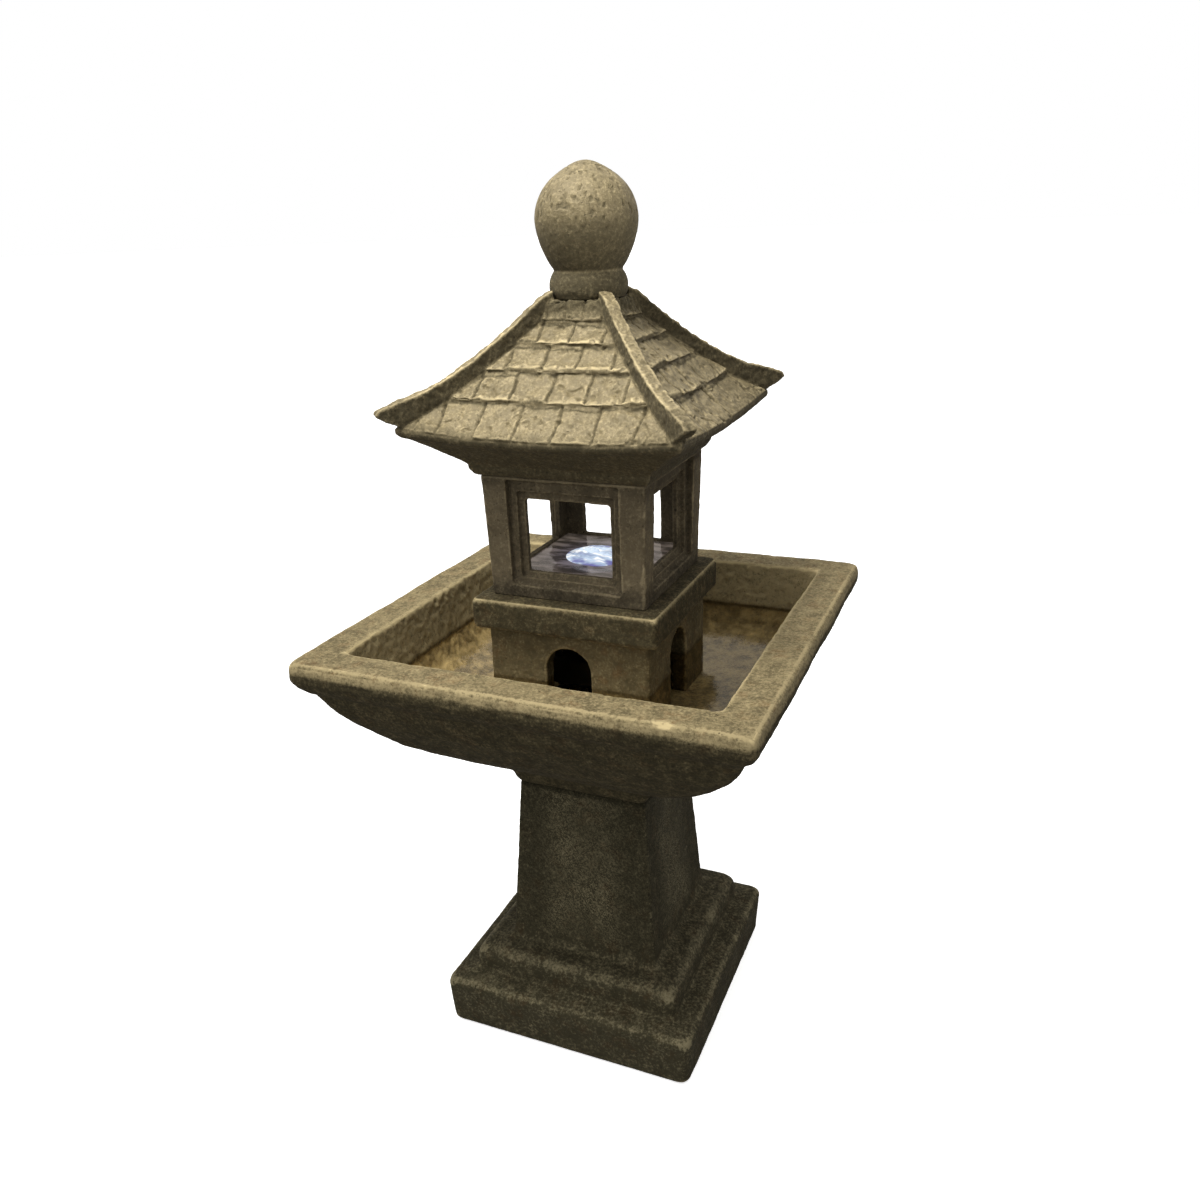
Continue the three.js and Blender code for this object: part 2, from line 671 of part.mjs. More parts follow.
function flowDial() {
  const { back, front, radius } = DIAL;
  const disc = rodOnShaft(radius, [back, front]);
  const notch = rodOnShaft(1.3, [back - 1, front + 1], 8).translate([0, 0, radius + 0.3]);
  const notches = Array.from({ length: 12 }, (_, i) =>
    notch.translate([0, 0, -SHAFT_HEIGHT]).rotate([i * 30, 0, 0]).translate([0, 0, SHAFT_HEIGHT]),
  );
  return cut(
    disc,
    rodOnShaft(4.6, [back - 1, front + 1], 20),
    ...inletHoles([back - 1, front + 1], INLET_RING.hole + 0.2),
    ...notches,
  );
}

function pumpStrainer() {
  const [back, front] = [VOLUTE.front + 4, 27];
  const [halfWidth, bottom, top, wall] = [20.5, 473, 509.5, 1.8];
  const shell = roundedBlock([back, front], halfWidth, [bottom, top], 4);
  const inside = [-halfWidth + wall, halfWidth - wall];
  const hollow = block([back - 1, front - wall], inside, [bottom + wall, top - wall]);
  const arms = [-1, 1].map((side) => {
    const [inner, outer] = [side * 19.8, side * 21.5];
    return block([-4, back + 3], [Math.min(inner, outer), Math.max(inner, outer)], [485, 497]);
  });
  const slots = Array.from({ length: 7 }, (_, i) => {
    const y = -15 + i * 5;
    return block([front - 4, front + 1], [y - 1.1, y + 1.1], [bottom + 5, top - 5]);
  });
  return cut(joined(cut(shell, hollow), ...arms), ...slots);
}

function suctionCup([x, y]) {
  const floor = BASIN_FLOOR + GAP;
  const profile = [
    [0, floor + 3.4],
    [7.8, floor],
    [9, floor],
    [8.6, floor + 1.2],
    [4, floor + 5.2],
    [3.2, floor + 7],
    [6, floor + 8],
    [6, PUMP.bottom - GAP],
    [2.5, PUMP.bottom - GAP],
    [2.5, PUMP.bottom + 3],
    [0, PUMP.bottom + 3],
  ];
  return solid(turned(profile, 12).translate(x, y, 0));
}

// ---- materials ----------------------------------------------------------------------------------
const finish = (color, roughness, metalness = 0) => ({ color, roughness, metalness });
const STONE = finish(0x6b5f47, 0.9);
const PALE_STONE = finish(0x857654, 0.88);
const BLACK_PLASTIC = finish(0x17181a, 0.5);
const RUBBER = finish(0x101010, 0.85);
const CLEAR = finish(0xdfe8ea, 0.15);
const STEEL = finish(0xb4b6b8, 0.35, 1);
const COPPER = finish(0xb5713a, 0.4, 1);

// ---- assembly -----------------------------------------------------------------------------------
const pieces = [
  ['pedestal', pedestal, STONE],
  ['basin', basin, STONE],
  ['pump_cover', pumpCover, STONE],
  ['light_chamber', lightChamber, STONE],
  ['roof', roof, PALE_STONE],
  ['finial', finial, PALE_STONE],
  ['finial_dowel', finialDowel, STEEL],
  ['basin_bung', basinBung, RUBBER],
  ['spout_grommet', spoutGrommet, RUBBER],
  ['riser_hose', riserHose, CLEAR],
  ['spout_nozzle', spoutNozzle, BLACK_PLASTIC],
  ['overflow_tube', overflowTube, BLACK_PLASTIC],
  ['led_housing', ledHousing, BLACK_PLASTIC],
  ['led_board', ledBoard, finish(0xf2f4f0, 0.6)],
  ['led_lens', ledLens, CLEAR],
  ['led_lead', ledLead, BLACK_PLASTIC],
  ['led_plug', ledPlug, BLACK_PLASTIC],
  ['pump_body', pumpBody, BLACK_PLASTIC],
  ['motor_core', motorCore, STEEL],
  ['motor_coil', motorCoil, COPPER],
  ['potting_resin', pottingResin, finish(0x24221f, 0.35)],
  ['pump_volute', pumpVolute, BLACK_PLASTIC],
  ['volute_seal', voluteSeal, RUBBER],
  ['rotor_magnet', rotorMagnet, finish(0x3a3a3d, 0.6)],
  ['impeller', impeller, finish(0xe9e9e6, 0.45)],
  ['rotor_shaft', rotorShaft, finish(0xf3f1ea, 0.3)],
  ['shaft_bush_rear', rearBush, RUBBER],
  ['shaft_bush_front', frontBush, RUBBER],
  ['flow_dial', flowDial, finish(0x2c5f8a, 0.5)],
  ['pump_strainer', pumpStrainer, BLACK_PLASTIC],
  ...CUP_PLACES.map((place, i) => [`suction_cup_${i + 1}`, () => suctionCup(place), RUBBER]),
];

const fountain = new THREE.Group();
for (const [name, shape, look] of pieces) {
  const mesh = new THREE.Mesh(geometryOf(shape()), new THREE.MeshStandardMaterial(look));
  mesh.name = name;
  fountain.add(mesh);
}

export default fountain;
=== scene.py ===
import itertools
import math
from typing import NamedTuple

import bpy
import numpy as np
from mathutils import Matrix, Vector


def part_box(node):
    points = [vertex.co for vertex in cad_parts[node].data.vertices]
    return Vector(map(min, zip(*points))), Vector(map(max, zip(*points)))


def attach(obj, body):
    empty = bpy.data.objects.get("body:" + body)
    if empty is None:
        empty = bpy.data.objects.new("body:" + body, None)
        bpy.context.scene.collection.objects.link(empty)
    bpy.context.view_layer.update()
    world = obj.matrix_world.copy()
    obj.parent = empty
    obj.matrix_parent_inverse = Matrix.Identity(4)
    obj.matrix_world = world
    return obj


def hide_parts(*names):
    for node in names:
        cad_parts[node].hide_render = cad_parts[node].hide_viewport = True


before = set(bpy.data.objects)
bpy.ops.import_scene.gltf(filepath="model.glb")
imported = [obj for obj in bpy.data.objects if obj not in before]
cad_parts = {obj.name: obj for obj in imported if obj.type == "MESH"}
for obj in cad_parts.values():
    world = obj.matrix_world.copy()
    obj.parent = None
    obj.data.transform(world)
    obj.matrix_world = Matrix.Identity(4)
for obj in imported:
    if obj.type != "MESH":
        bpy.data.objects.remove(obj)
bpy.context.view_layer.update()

# Pagoda lantern fountain in cast stone: the looks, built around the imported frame. Metres, +Z up.
MM = 0.001
COARSER = 1.0

# the camera's place round the object, and its lens
CAMERA_AZIMUTH = 23.8
CAMERA_ELEVATION = 20.5
CAMERA_ROLL = -2.1
CAMERA_DISTANCE = 1.343
CAMERA_TARGET = Vector((-0.0005, -0.0002, 0.591))
LENS = 31.0
SENSOR_WIDTH = 36

# heights and half widths that the looks share with the frame
STEP_ARRISES = np.array([70.7, 108]) * MM  # the middles of the two steps' rounded upper edges
COLUMN_FOOT = 125 * MM
# the basin's shade is painted on the column from about this height up
UNDER_BOWL = 400 * MM  # the column is sheltered by the basin from about here up
PEDESTAL_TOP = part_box("pedestal")[1].z
BASIN_FLOOR = 462 * MM
LIP_FOOT = 545 * MM  # the basin's rolled lip is between these heights
LIP_TOP = 570 * MM
HOLLOW_HALF = 235 * MM  # the basin's hollow at its rim
RIM_HALF = 279.5 * MM  # the sharpest line of the rim's outer edge
RIM_CHIP = np.array([187, -279, 579]) * MM  # the middle of a chip in the rim's front edge
WATER_LEVEL = 517 * MM
COVER_HALF = 106.9 * MM
SLAB_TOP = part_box("pump_cover")[1].z
SLAB_FOOT = SLAB_TOP - 38 * MM
CHAMBER_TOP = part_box("light_chamber")[1].z
CHAMBER_FOOT_HALF = 100.8 * MM
CHAMBER_FLARE = 4.1 / 153  # the chamber's half width grows this much with height
PAN_FLOOR = 632 * MM
POOL_FLOOR = PAN_FLOOR - 0.4 * MM  # the pool's water goes a little into the pan
POOL_LEVEL = 651.5 * MM
POOL_HALF = 80.8 * MM
LED_BOARD_TOP = 636.2 * MM
TILE_FOOT = 815 * MM
TOP_ROW_FOOT = 950 * MM
FINIAL_SEAT = 970 * MM
FINIAL_CREASE = 1001 * MM  # where the ball meets its collar
FINIAL_SIDES = 36  # the frame's finial has this many flat sides
BALL_MIDDLE = 1046 * MM
FLOOR_RADIUS = 60


# ---- noise on arrays of points ------------------------------------------------------------------
PRIMES = np.array([73856093, 19349663, 83492791], np.int64)
TURN = np.array(Matrix.Rotation(0.7, 3, Vector((1, 2, 3)).normalized()))  # off the faces' directions


def lattice(cells, seed):
    """One value from -1 to 1 for each whole-numbered cell."""
    mixed = (cells * PRIMES).sum(axis=1) + seed * 2654435761
    mixed = (mixed & 0xFFFFFFFF).astype(np.uint32)
    for shift, factor in ((15, 2246822519), (13, 3266489917)):
        mixed ^= mixed >> np.uint32(shift)
        mixed *= np.uint32(factor)
    mixed ^= mixed >> np.uint32(16)
    return mixed / 2147483647.5 - 1


def noise(points, cell, seed):
    """Smooth values from -1 to 1, with features about one cell wide. A cell may have a size per axis."""
    grid = points @ TURN / cell if np.isscalar(cell) else points / np.array(cell)
    low = np.floor(grid)
    ease = grid - low
    ease = ease * ease * (3 - 2 * ease)
    low = low.astype(np.int64)
    total = np.zeros(len(points))
    for corner in itertools.product((0, 1), repeat=3):
        weight = np.prod(np.where(corner, ease, 1 - ease), axis=1)
        total += weight * lattice(low + np.array(corner), seed)
    return total


def fractal(points, cell, seed, octaves):
    """Noise with finer noise on it, each octave half as wide and just over half as strong."""
    return sum(noise(points, cell / 2**i, seed + i) * 0.55**i for i in range(octaves))


def scattered(points, cell, seed, low=0.45, high=0.85, drift=0.8):
    """1 in scattered spots about half a cell wide and 0 between them. With drift, they don't line up."""
    size = cell if np.isscalar(cell) else np.mean(cell)
    aside = np.stack([noise(points, 1.7 * size, seed + i) for i in range(3)], axis=1)
    return step(noise(points + drift * size * aside, cell, seed + 7), low, high)


def step(value, low, high):
    """0 below low, 1 above high and a smooth rise between."""
    share = np.clip((value - low) / (high - low), 0, 1)
    return share * share * (3 - 2 * share)


# ---- meshes as arrays ---------------------------------------------------------------------------
def new_object(name, mesh):
    piece = bpy.data.objects.new(name, mesh)
    bpy.context.scene.collection.objects.link(piece)
    return piece


def points_of(mesh):
    """The place of each point, a row for each."""
    points = np.empty(len(mesh.vertices) * 3, np.float32)
    mesh.vertices.foreach_get("co", points)
    return points.reshape(-1, 3).astype(float)


def set_points(mesh, points):
    mesh.vertices.foreach_set("co", points.astype(np.float32).ravel())
    mesh.update()


def normals_of(mesh):
    """The way out of the surface at each point."""
    normals = np.empty(len(mesh.vertices) * 3, np.float32)
    mesh.vertex_normals.foreach_get("vector", normals)
    return normals.reshape(-1, 3).astype(float)


def edges_of(mesh):
    """The two points of each edge, a row for each."""
    edges = np.empty(len(mesh.edges) * 2, np.int32)
    mesh.edges.foreach_get("vertices", edges)
    return edges.reshape(-1, 2)


def relaxed(values, edges, rounds, share=0.5):
    """Each point's values moved towards the mean of its neighbours', so many times over."""
    one, other = edges[:, 0], edges[:, 1]
    size = len(values)
    count = np.bincount(edges.ravel(), minlength=size)[:, None]
    for _ in range(rounds):
        total = np.stack(
            [
                np.bincount(one, column[other], size) + np.bincount(other, column[one], size)
                for column in values.T
            ],
            axis=1,
        )
        values = values + share * (total / count - values)
    return values


def paint(mesh, name, values):
    """Keeps a value from 0 to 1 for each point, or one for them all, for a material to read."""
    layer = mesh.attributes.new(name, "FLOAT", "POINT")
    values = np.broadcast_to(np.clip(values, 0, 1), len(mesh.vertices))
    layer.data.foreach_set("value", values.astype(np.float32))


def even_skin(node, voxel):
    """A CAD node's solid as a mesh of even quads, about one voxel wide."""
    copy = new_object("even_skin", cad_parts[node].data.copy())
    weld = copy.modifiers.new("weld", "WELD")
    weld.merge_threshold = 0.01 * MM
    remesh = copy.modifiers.new("even", "REMESH")
    remesh.mode = "VOXEL"
    remesh.voxel_size = voxel
    bpy.context.view_layer.update()
    evaluated = copy.evaluated_get(bpy.context.evaluated_depsgraph_get())
    mesh = bpy.data.meshes.new_from_object(evaluated)
    bpy.data.objects.remove(copy)
    return mesh


# ---- cast stone ---------------------------------------------------------------------------------
class Relief(NamedTuple):
    """What the mould and the brush leave on a casting, and painted light and shade: each point's rise along
    its normal and its slide, in metres, and how stained or given painted shade, given a dry brush or painted
    light, rinsed clean of the wash in its hollows or flecked it is, and whether the basin's water can reach
    it, from
    0 to 1."""

    rise: np.ndarray
    slide: np.ndarray = 0.0
    stain_and_shade: np.ndarray = 0.0
    brushed_and_lit: np.ndarray = 0.0
    rinsed: np.ndarray = 0.0
    flecked: np.ndarray = 0.0
    in_reach: np.ndarray = 0.0


def rough_skin(points, seed):
    """Height of a hand-finished casting's surface over its true shape, in metres."""
    swell = 0.8 * noise(points, 80 * MM, seed) + 0.45 * noise(points, 26 * MM, seed + 1)
    grain = 0.28 * fractal(points, 8 * MM, seed + 2, 2)
    pits = scattered(points, 6 * MM, seed + 5)
    return (swell + grain - 0.6 * pits) * MM


def slight_rounding(points, edges, voxel):
    """Corners rounded by a couple of voxels."""
    return relaxed(points, edges, 2)


def smooth_ball(points, edges, voxel):
    """The finial's ball and collar made round and smooth, with the crease between them kept."""
    facet = 2 * math.pi / FINIAL_SIDES
    off_middle = np.arctan2(points[:, 1], points[:, 0]) % facet - facet / 2
    out = np.cos(off_middle) / math.cos(facet / 2)
    points = points * np.stack([out, out, np.ones(len(out))], axis=1)
    fair = relaxed(points, edges, round((8 * MM / voxel) ** 2))
    share = step(np.abs(points[:, 2] - FINIAL_CREASE), 2 * MM, 9 * MM)
    near = relaxed(points, edges, 3)
    return near + (fair - near) * share[:, None]


def casting(node, body, material, voxel, relief, seats=(), reshape=slight_rounding):
    """A stone piece that stands for a CAD node. Its shape is kept exactly at the heights in seats, where
    another casting rests."""
    voxel *= COARSER
    mesh = even_skin(node, voxel)
    edges = edges_of(mesh)
    true_points = points_of(mesh)
    points = reshape(true_points, edges, voxel)
    free = np.ones(len(points))
    for height in seats:
        free *= step(abs(true_points[:, 2] - height), 0.6 * MM, 4 * MM)
    points = true_points + (points - true_points) * free[:, None]
    set_points(mesh, points)
    normals = normals_of(mesh)
    made = relief(points, normals)
    points = points + normals * (made.rise * free)[:, None] + made.slide
    set_points(mesh, points)
    shade(mesh, points, edges, made, voxel)
    mesh.shade_smooth()
    piece = new_object(node + "_stone", mesh)
    mesh.materials.clear()
    mesh.materials.append(material)
    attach(piece, body)
    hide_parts(node)


def shade(mesh, points, edges, made, voxel):
    """Paints where the stone is worn or painted pale, where dirt and painted shade sit, and which way it
    faces.
    """
    normals = normals_of(mesh)

    def standing_proud(reach):
        rounds = max(1, round((reach / voxel) ** 2))
        return ((points - relaxed(points, edges, rounds)) * normals).sum(axis=1)

    near, wide = standing_proud(6 * MM), standing_proud(14 * MM)
    wear_and_light = 0.7 * step(near, 0.22 * MM, 0.9 * MM) + 0.3 * step(wide, 0.9 * MM, 3.2 * MM)
    cavity = 0.6 * step(-near, 0.2 * MM, 0.9 * MM) + 0.5 * step(-wide, 0.8 * MM, 3.5 * MM)
    paint(mesh, "wear_and_light", wear_and_light + made.brushed_and_lit)
    paint(mesh, "cavity", cavity * (1 - made.rinsed))
    paint(mesh, "stain_and_shade", made.stain_and_shade)
    paint(mesh, "flecked", made.flecked)
    paint(mesh, "in_reach", made.in_reach)
    # which way each point faces: the materials paint faces that look up a little paler with it, partly as
    # painted light
    paint(mesh, "up", 0.5 + 0.5 * normals[:, 2])


def chipped(points, seed):
    """Dents a few millimetres wide, as a mould and rough handling leave on thin edges."""
    return 0.5 * MM * scattered(points, 7 * MM, seed, 0.4, 0.8) + 0.3 * MM * noise(points, 5 * MM, seed + 5)


def cover_relief(points, normals):
    """The pump cover's slab has painted shade on its top and sides, and it is pale along its upper edges."""
    height, up = points[:, 2], normals[:, 2]
    # painted shadow of the roof on the slab's top and sides
    top = step(up, 0.7, 0.95) * step(height, SLAB_FOOT + 8 * MM, SLAB_FOOT + 18 * MM)
    slab_side = step(height, SLAB_FOOT - 2 * MM, SLAB_FOOT + 4 * MM) * (1 - step(up, 0.2, 0.6))
    arris = step(height, SLAB_TOP - 9 * MM, SLAB_TOP - 4 * MM) * np.exp(-(((up - 0.55) / 0.25) ** 2))
    lower = step(SLAB_FOOT - height, -2 * MM, 4 * MM)
    out = np.abs(points[:, :2]).max(axis=1)
    # painted shade in the recesses behind the cover's outer faces, and on its faces that look to the right
    recess_shade = step(COVER_HALF - out, 2 * MM, 5 * MM) * lower
    shaded_right_side = step(normals[:, 0], 0.4, 0.8) * step(points[:, 0], 0.0, 50 * MM)
    stain_and_shade = [top, 0.95 * slab_side, lower * (0.1 + 0.25 * shaded_right_side), recess_shade]
    rise = 0.7 * rough_skin(points, 51) - chipped(points, 55)
    worn = 0.6 + 0.4 * noise(points, 16 * MM, 57)
    # less pale brush on the slab's top and sides, where the roof's shadow is painted
    brushed_and_lit = 1.1 * arris * worn - 0.9 * top - 0.4 * slab_side - 0.5 * lower
    return Relief(rise, stain_and_shade=np.max(stain_and_shade, axis=0), brushed_and_lit=brushed_and_lit, in_reach=0.45)


def chamber_relief(points, normals):
    """The chamber's posts are a little uneven, with chipped arrises, and its window frames are dark."""
    rise = 0.6 * rough_skin(points, 71) - 0.8 * chipped(points, 75)
    smears = step(noise(points, (18 * MM, 18 * MM, 30 * MM), 79), 0.0, 0.8)
    height = points[:, 2]
    foot = step(SLAB_TOP - height, -36 * MM, -8 * MM)
    head = step(height - CHAMBER_TOP, -20 * MM, -4 * MM)
    patchy = 0.8 + 0.4 * noise(points, 20 * MM, 83)
    sides = np.sort(np.abs(points[:, :2]), axis=1)
    face = CHAMBER_FOOT_HALF + CHAMBER_FLARE * (height - SLAB_TOP)
    sunk = step(face - sides[:, 1], 2.2 * MM, 4.5 * MM)
    arris = step(sides[:, 0] - face, -5 * MM, -1.5 * MM)
    chips = arris * scattered(points, (8 * MM, 8 * MM, 14 * MM), 85, 0.1, 0.5)
    # darker towards the foot; painted shade at the head, under the roof; the sunk window frames darker,
    # partly their own colour and partly painted shade
    stain_and_shade = [1.1 * foot * patchy, 0.6 * head * patchy, 0.48 * sunk * patchy]
    return Relief(rise, stain_and_shade=np.max(stain_and_shade, axis=0), brushed_and_lit=0.5 * smears + chips - 0.4)


def pedestal_relief(points, normals):
    """The column is scored all over by a stiff brush, and each arris of the steps is a little chipped."""
    scored = noise(points, (9 * MM, 9 * MM, 2.4 * MM), 13) + noise(points, (2.4 * MM, 2.4 * MM, 12 * MM), 14)
    height = points[:, 2]
    column = step(height, COLUMN_FOOT, COLUMN_FOOT + 15 * MM)
    chips = scattered(points, 12 * MM, 17, 0.5, 0.9) * (1 - column)
    rise = 0.8 * rough_skin(points, 11) + (0.22 * scored * column - 0.4 * chips) * MM
    aside = np.abs(points[:, :2]).min(axis=1)
    middle = step(-aside, -68 * MM, -30 * MM) * step(UNDER_BOWL - height, 0.0, 70 * MM)
    patchy = step(noise(points, 48 * MM, 19), -0.5, 0.6)
    flecked = column * (0.35 + 0.65 * middle * patchy) * step(UNDER_BOWL - height, -20 * MM, 20 * MM)
    beside = np.abs(height[:, None] - STEP_ARRISES).min(axis=1)
    arris = step(-beside, -11 * MM, -3 * MM) * np.exp(-(((normals[:, 2] - 0.7) / 0.3) ** 2))
    arris *= 0.7 + 0.5 * noise(points, 26 * MM, 21)
    # painted shade just under the basin, at the column's top
    under_basin = step(height - PEDESTAL_TOP, -9 * MM, -4 * MM)
    tops = step(normals[:, 2], 0.85, 0.98) * (1 - column)
    # painted shade of the basin: on the column, less in the middle of its lower part, and on the steps' tops
    stain_and_shade = [0.6 * column * (1 - 0.7 * middle), 0.15 + 0.35 * tops, under_basin]
    brushed_and_lit = 0.2 * arris - 0.08 - 0.3 * column - under_basin
    return Relief(rise, stain_and_shade=np.max(stain_and_shade, axis=0), brushed_and_lit=brushed_and_lit, flecked=flecked)


def basin_relief(points, normals):
    """The lip and bowl have long level strokes, the rim wanders, and the inner walls are chiselled."""
    across = np.abs(points[:, :2]).max(axis=1)
    height = points[:, 2]
    outside = step(across - HOLLOW_HALF, 1 * MM, 17 * MM) * step(-normals[:, 2], -0.6, -0.2)
    strokes = noise(points, (60 * MM, 60 * MM, 4.5 * MM), 37)
    strokes += 0.7 * noise(points, (32 * MM, 32 * MM, 2.6 * MM), 38)
    strokes -= 1.2 * scattered(points, (26 * MM, 26 * MM, 3.2 * MM), 39, 0.3, 0.7)
    facing_out = step((normals[:, :2] * points[:, :2]).sum(axis=1), -0.01, 0.02)
    facing_up = step(normals[:, 2], 0.3, 0.8)
    hollow = step(HOLLOW_HALF - across, -2 * MM, 2 * MM) * np.maximum(1 - facing_out, facing_up)
    hollow *= step(height - BASIN_FLOOR, -7 * MM, -2 * MM)
    inside, floor = hollow * step(height - BASIN_FLOOR, 8 * MM, 18 * MM), hollow * facing_up
    chiselled = fractal(points, 7 * MM, 41, 2) - scattered(points, 9 * MM, 45, 0.25, 0.6)
    rim = step(height - LIP_FOOT, 0.0, 15 * MM)
    wander = 0.9 * noise(points, 110 * MM, 48) + 0.5 * noise(points, 34 * MM, 49)
    dents = scattered(points, 24 * MM, 58, 0.45, 0.9)
    rise = rough_skin(points, 31) + (0.5 * strokes * outside + 0.9 * chiselled * inside) * MM
    rise += (wander - 0.5 * dents) * MM * rim
    from_chip = np.linalg.norm((points - RIM_CHIP) / np.array([9, 5, 5]) / MM, axis=1)
    chip = step(-from_chip - 0.35 * noise(points, 4 * MM, 59), -1.2, -0.9)
    rise -= 1.2 * MM * chip
    outer = facing_out * step(across, 60 * MM, 80 * MM)
    # painted shade on the outer faces that look down
    under = step(-normals[:, 2], -0.35, 0.1) * outer
    top = step(normals[:, 2], 0.8, 0.97) * step(height - LIP_TOP, 0.0, 5 * MM)
    # painted shade on the lower part of the rolled lip
    shaded_lower_lip = outer * step(-height, -LIP_TOP - 1 * MM, -LIP_FOOT + 2 * MM)
    streaked = 1 + 0.6 * noise(points, (55 * MM, 55 * MM, 3 * MM), 36)
    bowl = np.maximum(under, 0.95 * shaded_lower_lip * streaked)
    arris = step(height - LIP_TOP, 0.0, 4 * MM) * np.exp(-(((across - RIM_HALF) / (1.6 * MM)) ** 2))
    arris *= 0.7 + 0.5 * noise(points, 22 * MM, 56)
    # painted light on the upper part of the rolled lip
    lit_upper_lip = facing_out * step(height - LIP_FOOT, 11 * MM, 19 * MM) * (1 - step(normals[:, 2], 0.3, 0.6))
    inner_edge = step(height - LIP_TOP, 2 * MM, 7 * MM)
    inner_edge *= np.exp(-(((across - HOLLOW_HALF) / (2.5 * MM)) ** 2))
    # painted light on the inner walls and floor and on the lip's upper part, and less pale brush where shade
    # is painted below
    brushed_and_lit = 0.05 * top + 0.6 * inside + 0.3 * floor + 1.5 * chip + 0.5 * inner_edge
    brushed_and_lit += 0.9 * arris + 0.5 * lit_upper_lip - 0.4 * under
    return Relief(rise, stain_and_shade=bowl, brushed_and_lit=brushed_and_lit, rinsed=0.4 * hollow, in_reach=hollow)


def finial_relief(points, normals):
    """The ball's upper half is pocked with short upright nicks, and its collar is dark."""
    upper = step(points[:, 2] - BALL_MIDDLE, -12 * MM, 12 * MM)
    nicks = scattered(points, (3.4 * MM, 3.4 * MM, 8.5 * MM), 93, 0.2, 0.5, drift=0.25)
    dimples = scattered(points, 7 * MM, 95, 0.5, 0.95)
    collar = step(-points[:, 2], -FINIAL_CREASE - 1 * MM, -FINIAL_CREASE + 4 * MM)
    smears = noise(points, (12 * MM, 12 * MM, 5 * MM), 98) * collar
    rise = 0.4 * rough_skin(points, 91) + 0.5 * MM * smears
    rise -= (0.9 * nicks * upper + 0.4 * dimples) * MM
    # painted shade on the faces that look down
    under = step(-normals[:, 2], -0.2, 0.6)
    stain_and_shade = [0.6 * nicks * upper, 0.1 + 0.8 * under, 1.2 * collar]
    brushed_and_lit = 0.9 * step(smears, 0.3, 0.8) - 0.7 * collar - 0.1
    return Relief(rise, stain_and_shade=np.max(stain_and_shade, axis=0), brushed_and_lit=brushed_and_lit)


# ---- roof tiles ---------------------------------------------------------------------------------
ROW_EDGES = np.array([43, 50, 72, 100, 130, 171]) * MM  # half widths of the roof at the rows' edges
RIDGE_REACH = 11.5 * MM
SLOPE_OUT, SLOPE_DOWN = 0.72, 0.69  # the way down the tiles


def roof_place(points):
    """For each point: which side of the roof, how far out from the middle and how far along the eave."""
    x, y = points[:, 0], points[:, 1]
    sideways = np.abs(x) > np.abs(y)
    out = np.where(sideways, np.abs(x), np.abs(y))
    along = np.where(sideways, np.sign(x) * y, -np.sign(y) * x)
    side = np.where(sideways, np.where(x > 0, 1, 3), np.where(y > 0, 2, 0))
    return side, out, along


def outward(side):
    """The direction down the slope on each side of the roof."""
    x = np.where(side == 1, SLOPE_OUT, np.where(side == 3, -SLOPE_OUT, 0.0))
    y = np.where(side == 2, SLOPE_OUT, np.where(side == 0, -SLOPE_OUT, 0.0))
    return np.stack([x, y, np.full(len(side), -SLOPE_DOWN)], axis=1)


